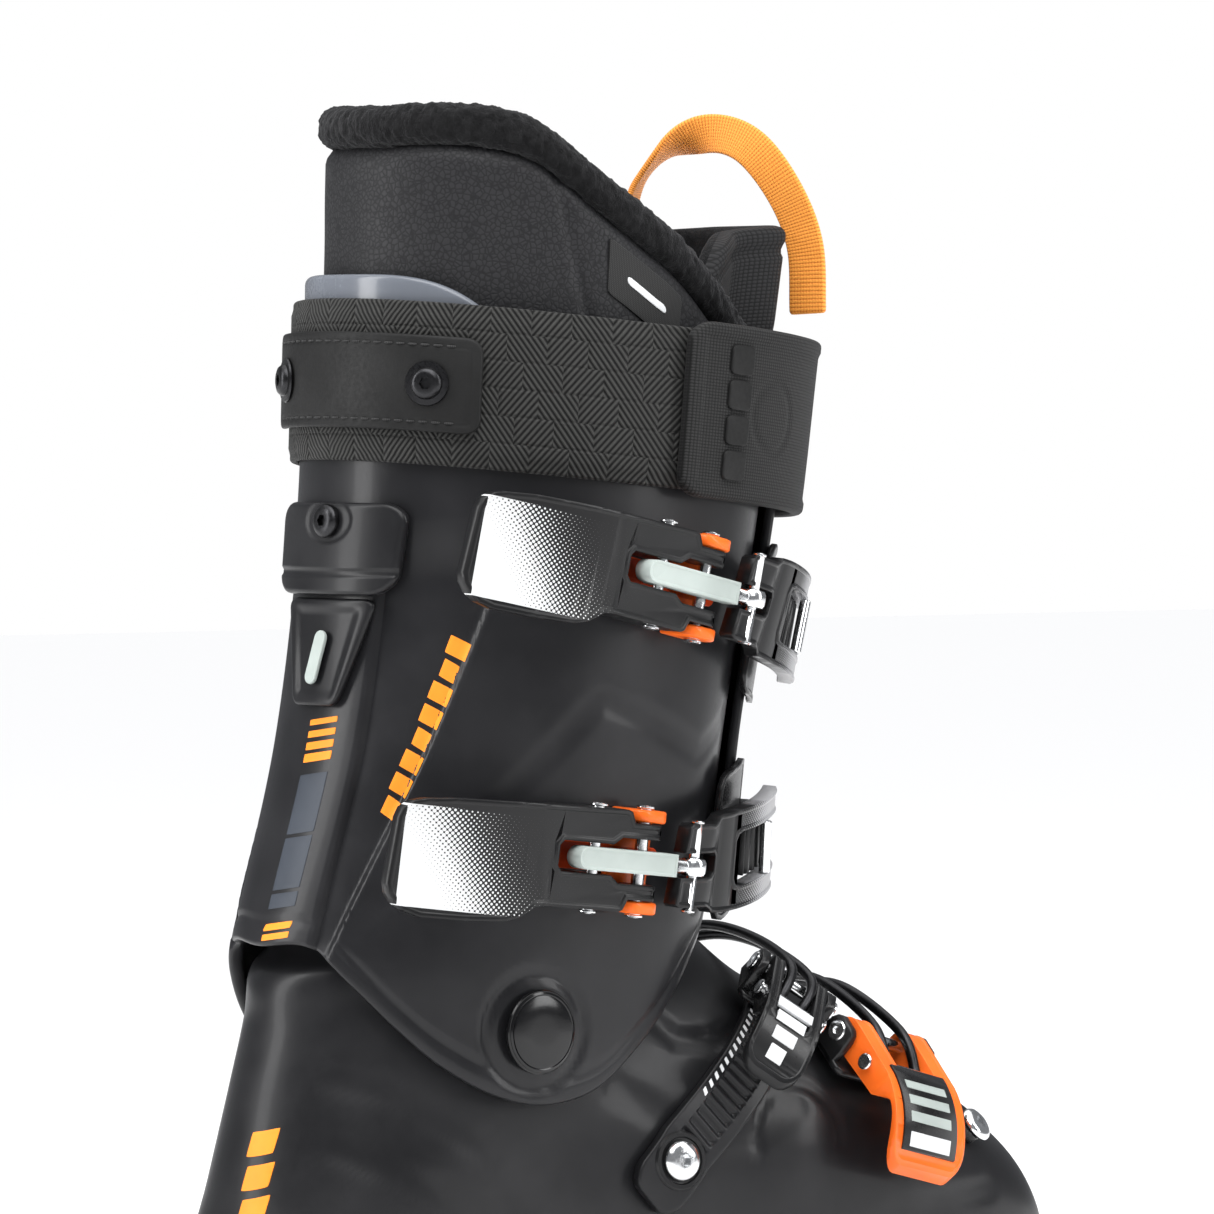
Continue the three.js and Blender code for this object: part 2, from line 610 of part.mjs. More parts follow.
// A point beside the buckle: s forward of the hinge along the cuff, h up, off outwards.
function besideBuckle(buckle, s, h, off) {
  const tilt = buckle.tilt * DEG;
  const ahead = Math.max(s, 0) / FORK_REACH;
  const turn = tilt - Math.atan(2 * buckle.rise * ahead / FORK_REACH);
  const z = buckle.z + h * Math.cos(turn) - s * Math.sin(tilt) + buckle.rise * ahead * ahead;
  const angle = angleAfter(buckle.angle * DEG, buckle.z, s * Math.cos(tilt) + h * Math.sin(turn));
  return cuffPoint(angle, z).addScaledVector(cuffNormal(angle, z), off);
}

function curvedBlock(buckle, [s0, s1], [h0, h1], [low, high], nu = 4, nv = 1) {
  return sheet(nu, nv, (u, v, side) => {
    const off = side ? low : high;
    return besideBuckle(buckle, lerp(s0, s1, u), lerp(h0, h1, v), off);
  });
}

// A lever's side view, pushed through its whole width.
function acrossLever(side, half) {
  const options = { depth: 2 * half + 2, bevelEnabled: false, curveSegments: 6 };
  return new THREE.ExtrudeGeometry(side, options).rotateX(Math.PI / 2).translate(0, half + 1, 0);
}

function leverGeometry() {
  const [arm, nose, slot, tail] = [ARM_HALF, NOSE_HALF, SLOT_HALF, LEVER_TAIL];
  // The paddle is lower than the arms by a step on its lower edge.
  const shape = outline([[5, nose], [-7, nose], [-9, arm], [-46, arm - 0.6], [-66, arm - 1.4],
    [tail + 5, arm - 2.6], [tail + 1, arm - 7], [tail, -13], [tail + 3, -18], [tail + 9, -20],
    [-56, -19.6], [-46, -18.6], [-38, -arm], [-9, -arm], [-7, -nose], [5, -nose],
    [5, -slot - 2], [-11, -slot - 2], [-14, -slot], [-33, -slot], [-33, slot], [-14, slot],
    [-11, slot + 2], [5, slot + 2]]);
  const blank = raised(shape, 0, 10);
  // Seen from the side: round ears at the hinge, deep arms, then a thin curved paddle.
  const side = new THREE.Shape();
  side.moveTo(0, HINGE_UP - 5);
  side.absarc(0, HINGE_UP, 5, -Math.PI / 2, Math.PI / 2);
  side.lineTo(-36, 13);
  side.quadraticCurveTo(-60, 12, tail - 1, 0);
  side.lineTo(tail - 1, -3);
  side.quadraticCurveTo(-60, 8.6, -40, 9.6);
  side.lineTo(-31, 3.4);
  side.closePath();
  const profile = acrossLever(side, 21);
  const tall = blank.scale(1, 1, 3).translate(0, 0, -8);
  const body = solid(profile).intersect(solid(tall));
  const hinge = rod(1.8 + GAP, -30, 30).rotateX(Math.PI / 2).translate(0, 0, HINGE_UP);
  const pin = rod(1.6 + GAP, -30, 30).rotateX(Math.PI / 2).translate(BAIL_BACK, 0, BAIL_UP);
  return fromSolid(body.subtract(solid(hinge)).subtract(solid(pin)));
}

function baseGeometry() {
  const outer = NOSE_HALF + GAP + EAR;
  const strip = raised(roundedBar(-36, 11, SLOT_HALF - 0.4, 2), 0.6, 2.6);
  const cross = raised(roundedBar(-7, 8, outer, 3), 0.6, 2.6);
  const ear = raised(outline([[-6, 0.6], [7, 0.6], [6, 10], [3, 12.4], [-2, 12.4], [-5, 10]]), 0, EAR);
  ear.rotateX(Math.PI / 2);
  const ears = [outer, EAR - outer].map((y) => ear.clone().translate(0, y, 0));
  const hinge = rod(1.8 + GAP, -30, 30).rotateX(Math.PI / 2).translate(0, 0, HINGE_UP);
  return minus(plus(strip, cross, ...ears), hinge);
}

function pinAlong(radius, half, head = 0) {
  const profile = head ? [[head, -half - 1], [head, -half], [radius, -half], [radius, half], [head, half],
    [head, half + 1]] : [[radius, -half], [radius, half]];
  return turned(profile, 8).rotateX(Math.PI / 2);
}

function buildBuckle(buckle) {
  const { name, z } = buckle;
  const angle = buckle.angle * DEG;
  const normal = cuffNormal(angle, z);
  const level = v3(-normal.y, normal.x, 0).normalize();
  const tilt = buckle.tilt * DEG;
  const forward = level.multiplyScalar(Math.cos(tilt)).add(v3(0, 0, -Math.sin(tilt)));
  const frame = frameAt(cuffPoint(angle, z), forward, normal);

  add(`${name}_base`, baseGeometry(), ORANGE, frame);
  add(`${name}_hinge_pin`, pinAlong(1.8, NOSE_HALF + EAR + 0.7, 2.6), SILVER, frame).position.z = HINGE_UP;
  add(`${name}_lever`, leverGeometry(), SATIN_BLACK, frame);
  const bailPin = pinAlong(1.6, ARM_HALF + GAP, 2.4);
  add(`${name}_bail_pin`, bailPin, SILVER, frame).position.set(BAIL_BACK, 0, BAIL_UP);

  const bar = raised(roundedBar(-28, 7, BAR_HALF, 1), 10.2, 16);
  const block = raised(roundedBar(BAIL_BACK - 4, BAIL_BACK + 4, BAR_HALF, 1), 8, 16);
  const cross = rod(1.6 + GAP, -30, 30).rotateX(Math.PI / 2).translate(BAIL_BACK, 0, BAIL_UP);
  const bore = rod(2 + GAP, -15, 10, 12).rotateY(Math.PI / 2).translate(0, 0, ROD_UP);
  add(`${name}_bail`, minus(plus(bar, block), cross, bore), GREY_METAL, frame);

  const shank = rod(2, -14, EYE - 2).rotateY(Math.PI / 2).translate(0, 0, ROD_UP);
  const eye = rod(3.6, -2.5, 2.5, 12).rotateX(Math.PI / 2).translate(EYE, 0, ROD_UP);
  const eyeHole = rod(1.5 + GAP, -9, 9).rotateX(Math.PI / 2).translate(EYE, 0, ROD_UP);
  add(`${name}_rod`, minus(plus(shank, eye), eyeHole), SILVER, frame);

  // The fork: two arms past the eye, a cross bar, and two arms round the catch.
  const skin = [8.4, 13.4];
  const parts = [];
  for (const up of [1, -1]) {
    const across = (near, far) => [up * near, up * far].sort((a, b) => a - b);
    parts.push(curvedBlock(buckle, [9, 27], across(3.4, 11.5), [10.2, 15.2]));
    parts.push(curvedBlock(buckle, [28, 64], across(7.6, 14), skin, 8));
  }
  parts.push(curvedBlock(buckle, [22, 32], [-13.6, 13.6], skin, 3));
  const eyePin = pinAlong(1.5, 11.9);
  frame.updateMatrixWorld();
  const pinLine = eyePin.translate(EYE, 0, ROD_UP).applyMatrix4(frame.matrixWorld);
  const fork = plus(parts[0], ...parts.slice(1), pinLine);
  add(`${name}_fork`, fork, SATIN_BLACK);
  const hookAt = 50;
  const hook = [-1, 1].map((up) => besideBuckle(buckle, hookAt, up * 7.2, 12.6));
  const span = hook[1].clone().sub(hook[0]);
  const catchOut = cuffNormal(angleAfter(angle, z, hookAt), z);
  const hookFrame = frameAt(hook[0].clone().add(hook[1]).multiplyScalar(0.5), span, catchOut);
  const hookPin = rod(1.6, -span.length() / 2, span.length() / 2).rotateY(Math.PI / 2);
  add(`${name}_hook_pin`, hookPin, SILVER, hookFrame);

  // The catch on the outer flap: a plate and a block of ridges under the hook pin.
  const plate = curvedBlock(buckle, [40, 68], [-21, 21], [0.8, 2.6], 8, 3);
  const ridged = sheet(16, 1, (u, v, side) => {
    const s = lerp(41, 70, u);
    const ridge = Math.round(u * 16) % 2 ? 8.6 : 10.2;
    return besideBuckle(buckle, s, lerp(-6.6, 6.6, v), side ? 1.5 : ridge);
  });
  add(`${name}_ladder`, plus(plate, ridged), GLOSS_BLACK);
}

// ---- buckles of the lower shell ------------------------------------------------------
// A ribbon lying over the shell between two places [station, degrees from the crest].
function shellRoute(from, to) {
  return (u) => {
    const [v, angle] = [lerp(from[0], to[0], u), lerp(from[1], to[1], u) * DEG];
    return { point: shellPoint(v, angle), normal: shellNormal(v, angle) };
  };
}

function ribbonPoint(route, u, aside, off) {
  const e = 0.01;
  const here = route(u);
  const along = route(u + e).point.sub(route(u - e).point).normalize();
  const across = here.normal.clone().cross(along).normalize();
  return here.point.addScaledVector(across, aside).addScaledVector(here.normal, off);
}

function ribbon(route, half, low, high, nu, range = [0, 1], teeth = 0) {
  return sheet(nu, 1, (u, v, side) => {
    const t = lerp(range[0], range[1], u);
    const notch = teeth && Math.round(u * nu) % 2 ? teeth : 0;
    return ribbonPoint(route, t, (2 * v - 1) * half(t), side ? low : high - notch);
  });
}

function frameOnRoute(route, u, off, reverse = false) {
  const e = 0.01;
  const { point, normal } = route(u);
  const along = route(u + e).point.sub(route(u - e).point);
  if (reverse) along.negate();
  return frameAt(point.addScaledVector(normal, off), along, normal);
}

const INSTEP_ROUTE = shellRoute([8.88, -93], [7.5, -23]);
const INSTEP_HINGE = 0.72; // the lever's hinge, along the route
const TOE_ROUTE = shellRoute([5.52, -98], [6.3, -20]);
const TOE_HINGE = 0.68;
const BAIL_LIFT = 10.8; // of the bails' wire over the shell

const overShell = (v, degrees) => shellPoint(v, degrees * DEG)
  .addScaledVector(shellNormal(v, degrees * DEG), BAIL_LIFT);

// A lever that lies back down its route from the hinge; its bail runs over the crest.
function shellLever({ half, length, hinge, thick, slotHalf, bend }) {
  const planform = raised(roundedBar(-length, 5, half, 5), -30, 30);
  const slot = raised(roundedBar(-length * 0.62, 9, slotHalf, 1.5), -31, 31);
  const side = new THREE.Shape();
  side.moveTo(0, hinge - 4.6);
  side.absarc(0, hinge, 4.6, -Math.PI / 2, Math.PI / 2);
  side.lineTo(-length * 0.4, hinge + 4.6);
  side.quadraticCurveTo(-length * 0.75, hinge + 4, -length, hinge + 4.6 - bend);
  side.lineTo(-length, hinge + 4.6 - bend - thick);
  side.quadraticCurveTo(-length * 0.75, hinge + 4 - thick, -length * 0.62, hinge + 4.2 - thick);
  side.lineTo(-length * 0.5, hinge - 3.4);
  side.closePath();
  const profile = acrossLever(side, half);
  const holes = [[0, hinge, 1.8], [-12, hinge + 1, 1.5]].map(([x, z, r]) => rod(r + GAP, -40, 40)
    .rotateX(Math.PI / 2).translate(x, 0, z));
  const body = solid(profile).intersect(solid(planform)).subtract(solid(slot));
  return fromSolid(holes.reduce((b, hole) => b.subtract(solid(hole)), body));
}

function shellBase({ half, earHeight, hinge, back, front }) {
  const plate = raised(roundedBar(back, front, half + 3.4, 3), 0, 2);
  const ear = raised(outline([[-6, 0], [6, 0], [5, earHeight - 3], [2.5, earHeight], [-2.5, earHeight],
    [-5, earHeight - 3]]), 0, 3).rotateX(Math.PI / 2);
  const ears = [half + 3.4, -half - 0.4].map((y) => ear.clone().translate(0, y, 0));
  const hole = rod(1.8 + GAP, -40, 40).rotateX(Math.PI / 2).translate(0, 0, hinge);
  return minus(plus(plate, ...ears), hole);
}

// The bail: a wire hoop whose cross end is the pin in the lever, over the crest to a hook.
function shellBail(frame, { half, hinge, slotHalf }, far) {
  const [x, z] = [-12, hinge + 1];
  const toLocal = frame.matrixWorld.clone().invert();
  const across = slotHalf - 2.2;
  const farPoints = far.map((p) => p.clone().applyMatrix4(toLocal));
  const leg = (side) => [v3(x, side * (across - 1.5), z), v3(x + 1.5, side * across, z + 0.2),
    v3(2, side * across, z + 2.8), ...farPoints.map((p) => v3(p.x, p.y + side * (across - 1), p.z))];
  const lateral = leg(-1);
  const medial = leg(1).reverse();
  const last = farPoints[farPoints.length - 1];
  const bend = v3(last.x + 2.4, last.y, last.z - 0.4);
  return plus(
    wire([...lateral, bend, ...medial], 1.5, 40, 6),
    rod(1.5, -half - 2, half + 2, 8).rotateX(Math.PI / 2).translate(x, 0, z),
  );
}

function buildInstepBuckle() {
  const route = INSTEP_ROUTE;
  const half = (t) => lerp(9, 7.5, t);
  const strap = ribbon(route, half, 0.6, 4, 22, [-0.06, 0.74], 1.2);
  const anchor = frameOnRoute(route, 0.03, 0);
  const hole = rod(3.3, -3, 9).applyMatrix4(anchor.matrixWorld);
  add('instep_ladder', minus(strap, hole), SATIN_BLACK);
  const anchorScrew = turned([[2.8, GAP], [2.8, 4.4], [5.6, 4.4], [5.6, 5.4], [4, 6.6]], 10);
  add('instep_anchor_screw', anchorScrew, SILVER, anchor);

  const frame = frameOnRoute(route, INSTEP_HINGE, 4.5);
  const hinge = 8;
  const base = { half: 9.4, earHeight: 11.5, hinge, back: -8, front: 8 };
  add('instep_base', shellBase(base), SATIN_BLACK, frame);
  add('instep_hinge_pin', pinAlong(1.8, 13.1, 3), SILVER, frame).position.z = hinge;
  const lever = { half: 9, length: 38, hinge, thick: 3, slotHalf: 5.6, bend: 10 };
  add('instep_lever', shellLever(lever), SATIN_BLACK, frame);
  const far = [[7.8, -18], [7.85, 4], [7.9, 24], [7.95, 42]].map(([v, degrees]) => overShell(v, degrees));
  add('instep_bail', shellBail(frame, lever, far), BLACK_METAL, frame);
  buildHook('instep_catch', [7.95, 52], 9);
}

// The fixed hook on the inner side that a bail's far end reaches round.
function buildHook(name, [v, degrees], half) {
  const route = shellRoute([v, degrees - 14], [v, degrees + 14]);
  const frame = frameOnRoute(route, 0.5, GAP);
  const side = outline([[-12, 0], [14, 0], [12, 3], [2, 3.2], [0, 4.4], [-4.5, 5.2], [-10, 4.6], [-12, 3]]);
  const block = new THREE.ExtrudeGeometry(side, { depth: 2 * half, bevelEnabled: false });
  add(name, block.rotateX(Math.PI / 2).translate(0, half, 0), SATIN_BLACK, frame);
}

function buildToeBuckle() {
  const route = TOE_ROUTE;
  const frame = frameOnRoute(route, TOE_HINGE, 1.2);
  const hinge = 8;
  add('toe_base', shellBase({ half: 17, earHeight: 11.5, hinge, back: -10, front: 8 }), SATIN_BLACK, frame);
  add('toe_hinge_pin', pinAlong(1.8, 20.7, 3), SILVER, frame).position.z = hinge;
  const lever = { half: 16.6, length: 40, hinge, thick: 3.4, slotHalf: 9, bend: 14 };
  add('toe_lever', shellLever(lever), ORANGE, frame);
  const far = [[6.2, -18], [6, 4], [5.8, 24], [5.6, 40]].map(([v, degrees]) => overShell(v, degrees));
  add('toe_bail', shellBail(frame, lever, far), BLACK_METAL, frame);
  buildHook('toe_catch', [5.6, 52], 12);
  // The band that carries the base down the side to its screw.
  const band = shellRoute([4.1, -58], [4.85, -43]);
  const anchor = frameOnRoute(band, 0.12, 0);
  const strap = ribbon(band, () => 6, GAP, 3, 8);
  const hole = rod(3.3, -3, 9).applyMatrix4(anchor.matrixWorld);
  add('toe_band', minus(strap, hole), SATIN_BLACK);
  const bandScrew = turned([[2.8, GAP], [2.8, 3.4], [5.2, 3.4], [5.2, 4.4], [3.8, 5.6]], 10);
  add('toe_band_screw', bandScrew, SILVER, anchor);
}

buildShell();
buildSole();
buildFootInside();
buildCuff();
buildPivots();
buildBlade();
buildStrap();
buildLiner();
buildTongue();
buildLoop();
BUCKLES.forEach(buildBuckle);
buildInstepBuckle();
buildToeBuckle();

export default boot;
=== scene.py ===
"""Looks of an alpine ski boot for the right foot. Lengths are in millimetres until a mesh is
made, in the part's own frame: +X to the toe, +Y to the inner side, +Z up."""
from math import atan, copysign, cos, hypot, pi, radians, sin

import bmesh
import bpy
from mathutils import Matrix, Vector, noise


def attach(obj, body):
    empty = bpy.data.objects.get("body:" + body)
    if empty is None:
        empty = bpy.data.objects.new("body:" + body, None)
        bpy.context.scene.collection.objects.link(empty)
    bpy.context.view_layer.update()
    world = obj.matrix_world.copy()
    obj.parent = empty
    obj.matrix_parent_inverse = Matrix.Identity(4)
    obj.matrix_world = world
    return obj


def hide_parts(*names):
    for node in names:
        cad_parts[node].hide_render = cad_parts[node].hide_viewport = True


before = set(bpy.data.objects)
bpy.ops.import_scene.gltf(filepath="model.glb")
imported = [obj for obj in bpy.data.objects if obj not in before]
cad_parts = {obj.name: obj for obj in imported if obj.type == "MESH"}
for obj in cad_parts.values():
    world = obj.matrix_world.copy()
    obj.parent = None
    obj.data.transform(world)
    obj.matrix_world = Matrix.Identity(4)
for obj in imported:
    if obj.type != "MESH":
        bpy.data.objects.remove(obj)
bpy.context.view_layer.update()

MM = 0.001

# ---- driving dimensions, as in the CAD model -------------------------------------------
HEEL_BACK, SOLE_LENGTH, SOLE_HALF = -44, 306, 34.5
TOE_FRONT = HEEL_BACK + SOLE_LENGTH
PAD_THICKNESS, TOE_LUG, HEEL_LUG = 13, 19, 30
TOE_PAD_BACK, HEEL_PAD_FRONT = 146, 36
ANKLE = Vector((42, 0, 105))
SHELL_WALL, CUFF_WALL, LINER_WALL = 5, 4, 9
FLAP_STEP = CUFF_WALL + 0.8
STRAP_WIDTH, STRAP_THICK = 44, 2.6


def lerp(a, b, t):
    return a + (b - a) * t


def clamp(x, low, high):
    return min(max(x, low), high)


def smooth(x, low, high):
    t = clamp((x - low) / (high - low), 0, 1)
    return t * t * (3 - 2 * t)


def power(x, p):
    return copysign(abs(x) ** p, x)


def curve_through(rows):
    """A cubic through rows of (t, value, value...), with central slopes."""

    def slope(i, k):
        a, b = rows[max(i - 1, 0)], rows[min(i + 1, len(rows) - 1)]
        return (b[k] - a[k]) / (b[0] - a[0])

    def value(t, k=1):
        x = clamp(t, rows[0][0], rows[-1][0])
        i = 0
        while i < len(rows) - 2 and x > rows[i + 1][0]:
            i += 1
        step = rows[i + 1][0] - rows[i][0]
        s = (x - rows[i][0]) / step
        s2, s3 = s * s, s * s * s
        return ((2 * s3 - 3 * s2 + 1) * rows[i][k] + (s3 - 2 * s2 + s) * step * slope(i, k)
                + (3 * s2 - 2 * s3) * rows[i + 1][k] + (s3 - s2) * step * slope(i + 1, k))

    return value


# Sections of the lower shell, from the toe (0) to the top of the ankle (19): station, crest x
# and z, sole x and z, half-width, centre y, roundness of the crest and of the sole.
shell_at = curve_through([
    (0, 246, 37, 247, 22, 17, 5, 2.2, 2.2),
    (1, 243, 48, 243, 16, 29, 5, 2.3, 2.4),
    (2, 237, 58.5, 235, 14, 37, 5, 2.3, 2.6),
    (3, 227, 69, 219, 14, 43, 4, 2.3, 2.8),
    (4, 210, 80.5, 194, 14, 47, 2, 2.2, 3),
    (5, 189, 91, 164, 14, 50, 0, 2.1, 3),
    (6, 169, 101, 138, 16, 51, -1, 2.1, 2.8),
    (7, 152, 110, 115, 18, 50.5, -1, 2.1, 2.8),
    (8, 137.8, 117.8, 88, 18, 48.5, 0, 2.1, 2.8),
    (9, 128, 125.6, 50, 16, 45.5, 0, 2.1, 3),
    (10, 121.6, 131.6, 15, 14, 43.1, 0, 2.15, 3.1),
    (11, 119.6, 138.6, -8, 14, 42, 0, 2.15, 3),
    (12, 117.6, 141.8, -25, 18, 41.6, 0, 2.15, 2.8),
    (13, 117, 145, -32, 33, 41, 0, 2.2, 2.5),
    (14, 116, 147, -27, 58, 40.2, 0, 2.2, 2.2),
    (15, 115.5, 148, -20.5, 87, 39.6, 0, 2.2, 2),
    (16, 115, 149, -15.5, 106, 39.2, 0, 2.2, 2),
    (17, 114.5, 150, -13.5, 119, 39, 0, 2.2, 2),
    (18, 114, 150.5, -5, 128, 38.8, 0, 2.2, 2),
    (19, 112, 151, 2, 149, 38.5, 0, 2.2, 2),
])


def shell_point(v, angle, inset=0.0):
    top = Vector((shell_at(v, 1), 0, shell_at(v, 2)))
    bottom = Vector((shell_at(v, 3), 0, shell_at(v, 4)))
    across = (bottom - top).normalized()
    c, s = cos(angle), sin(angle)
    p = 2 / shell_at(v, 7 if c > 0 else 8)
    point = (top + bottom) / 2 - across * power(c, p) * ((top - bottom).length / 2 - inset)
    point.y = shell_at(v, 6) + (shell_at(v, 5) - inset) * power(s, p)
    return point


def shell_normal(v, angle):
    e = 0.02
    a = shell_point(v + e, angle) - shell_point(v - e, angle)
    b = shell_point(v, angle + e) - shell_point(v, angle - e)
    return b.cross(a).normalized()


cuff_rear = curve_through([(80, -19), (118, -18), (130, -16.4), (184, -1), (243, 7.4),
                           (290, 9.5), (336, 9.8), (365, 10)])
cuff_front = curve_through([(80, 124), (118, 130), (133, 133.5), (184, 138), (243, 150),
                            (290, 157), (336, 165), (365, 168)])
cuff_half = curve_through([(80, 47.6), (105, 48.4), (150, 50), (184, 52), (243, 53.2),
                           (290, 54), (365, 54)])
CUFF_ROUND = 2.12


def cuff_point(angle, z, offset=0.0):
    """Angle 0 is the rear of the leg, -90 degrees the outer side, 180 the shin."""
    rear, front = cuff_rear(z), cuff_front(z)
    p = 2 / CUFF_ROUND
    x = (rear + front) / 2 - ((front - rear) / 2 + offset) * power(cos(angle), p)
    return Vector((x, (cuff_half(z) + offset) * power(sin(angle), p), z))


def cuff_normal(angle, z):
    e = 0.01
    around = cuff_point(angle + e, z) - cuff_point(angle - e, z)
    up = cuff_point(angle, z + 1) - cuff_point(angle, z - 1)
    return up.cross(around).normalized()


# ---- mesh helpers ------------------------------------------------------------------------
def make(name, verts, faces, uvs=None, smooth_angle=40, material=None):
    """A mesh object from points in millimetres, with its faces turned outwards."""
    mesh = bpy.data.meshes.new(name)
    mesh.from_pydata([tuple(v * MM) for v in verts], [], faces)
    if uvs:
        layer = mesh.uv_layers.new(name="UVMap")
        for loop in mesh.loops:
            layer.data[loop.index].uv = uvs[loop.vertex_index]
    bm = bmesh.new()
    bm.from_mesh(mesh)
    bmesh.ops.recalc_face_normals(bm, faces=bm.faces)
    bm.to_mesh(mesh)
    bm.free()
    for polygon in mesh.polygons:
        polygon.use_smooth = True
    mesh.set_sharp_from_angle(angle=radians(smooth_angle))
    obj = bpy.data.objects.new(name, mesh)
    bpy.context.scene.collection.objects.link(obj)
    if material:
        mesh.materials.append(material)
    return obj


def spaced(count, length, edge):
    """Parameters from 0 to 1: count even steps, and closer ones in the first and last edge."""
    e = edge / length
    near = [x * e for x in (0, 0.12, 0.3, 0.6)]
    inner = [e + (1 - 2 * e) * i / count for i in range(count + 1)]
    return near + inner + [1 - x for x in reversed(near)]


def skin(name, place, lengths, counts, low, high, edge=0.8, corner=0.0, relief=None,
         materials=(), smooth_angle=50):
    """A closed curved plate with rounded edges and corners. place(u, v, off) is a point off
    the surface; low and high are the offsets of its inner and outer faces."""
    us, vs = spaced(counts[0], lengths[0], edge), spaced(counts[1], lengths[1], edge)
    verts, uvs, faces = [], [], []
    for side in (0, 1):
        for u0 in us:
            for v0 in vs:
                u, v = u0, v0
                du, dv = min(u, 1 - u) * lengths[0], min(v, 1 - v) * lengths[1]
                d = min(du, dv)
                if du < corner and dv < corner:
                    a, b = corner - du, corner - dv
                    f = max(a, b) / hypot(a, b)
                    ru, rv = (corner - a * f) / lengths[0], (corner - b * f) / lengths[1]
                    u = ru if u < 0.5 else 1 - ru
                    v = rv if v < 0.5 else 1 - rv
                fall = edge - (edge ** 2 - (edge - d) ** 2) ** 0.5 if d < edge else 0
                bottom = low(u, v) if callable(low) else low
                top = high(u, v) if callable(high) else high
                off = bottom + fall if side else top - fall - (relief(u, v) if relief else 0)
                verts.append(place(u, v, off))
                uvs.append((u * lengths[0], v * lengths[1]))
    nu, nv = len(us), len(vs)

    def at(i, j, side):
        return (side * nu + i) * nv + j

    for side in (0, 1):
        for i in range(nu - 1):
            for j in range(nv - 1):
                faces.append((at(i, j, side), at(i + 1, j, side),
                              at(i + 1, j + 1, side), at(i, j + 1, side)))
    inner = len(faces) // 2
    for i in range(nu - 1):
        for j in (0, nv - 1):
            faces.append((at(i, j, 0), at(i + 1, j, 0), at(i + 1, j, 1), at(i, j, 1)))
    for j in range(nv - 1):
        for i in (0, nu - 1):
            faces.append((at(i, j, 0), at(i, j + 1, 0), at(i, j + 1, 1), at(i, j, 1)))
    obj = make(name, verts, faces, uvs, smooth_angle)
    for material in materials:
        obj.data.materials.append(material)
    if len(materials) > 1:
        for polygon in obj.data.polygons:
            polygon.material_index = 1 if inner <= polygon.index < 2 * inner else 0
    return obj


def outline_solid(name, points, top, bottom, place, cuts=(), rim=None, edge=0.4,
                  material=None, smooth_angle=35, across=()):
    """A flat outline made solid between two heights (numbers or functions of s and h), with
    an optional sunk face rim = (width, depth), carried into place by place(s, h, z)."""
    bm = bmesh.new()
    bm.faces.new([bm.verts.new((s, h, 0)) for s, h in points])
    for axis, places in ((0, cuts), (1, across)):
        for c in places:
            co, no = [0, 0, 0], [0, 0, 0]
            co[axis], no[axis] = c, 1
            bmesh.ops.bisect_plane(bm, geom=bm.verts[:] + bm.edges[:] + bm.faces[:],
                                   plane_co=co, plane_no=no)
    bmesh.ops.remove_doubles(bm, verts=bm.verts, dist=0.25)
    grown = bmesh.ops.extrude_face_region(bm, geom=bm.faces[:])["geom"]
    for v in grown:
        if isinstance(v, bmesh.types.BMVert):
            v.co.z = 1
    if rim:
        upper = [f for f in grown if isinstance(f, bmesh.types.BMFace)]
        middle = sum((Vector((s, h, 1)) for s, h in points), Vector()) / len(points)
        before = [v.co.copy() for v in {v for f in upper for v in f.verts}]
        for thickness in (rim[0], rim[1]):
            bmesh.ops.inset_region(bm, faces=upper, thickness=thickness, depth=0,
                                   use_even_offset=True)
        for v in {v for f in upper for v in f.verts}:
            nearest = min(before, key=lambda p: (p - v.co).length)
            if (nearest - v.co).length > 3 * (rim[0] + rim[1]):
                v.co = nearest + (middle - nearest) * 0.05
            v.co.z = 2
    bm.verts.index_update()
    verts, uvs = [], []
    for v in bm.verts:
        s, h, flag = v.co
        low = bottom(s, h) if callable(bottom) else bottom
        high = top(s, h) if callable(top) else top
        z = low if flag < 0.5 else high - (rim[1] if flag > 1.5 else 0)
        verts.append(place(s, h, z))
        uvs.append((s, h))
    faces = [tuple(v.index for v in f.verts) for f in bm.faces]
    bm.free()
    obj = make(name, verts, faces, uvs, smooth_angle, material)
    return rounded(obj, edge) if edge else obj


def fused(name, objects):
    """One object of several, with their modifiers applied."""
    depsgraph = bpy.context.evaluated_depsgraph_get()
    bm = bmesh.new()
    materials = []
    target = bpy.data.meshes.new(name)
    bm.loops.layers.uv.new("UVMap")
    for obj in objects:
        mesh = bpy.data.meshes.new_from_object(obj.evaluated_get(depsgraph))
        if not mesh.uv_layers:
            mesh.uv_layers.new(name="UVMap")
        slots = []
        for material in mesh.materials:
            if material not in materials:
                materials.append(material)
            slots.append(materials.index(material))
        before = len(bm.faces)
        bm.from_mesh(mesh)
        bm.faces.ensure_lookup_table()
        for face in bm.faces[before:]:
            face.material_index = slots[face.material_index]
        bpy.data.meshes.remove(mesh)
    bm.to_mesh(target)
    bm.free()
    for material in materials:
        target.materials.append(material)
    target.set_sharp_from_angle(angle=radians(38))
    for obj in objects:
        bpy.data.objects.remove(obj)
    result = bpy.data.objects.new(name, target)
    bpy.context.scene.collection.objects.link(result)
    return result


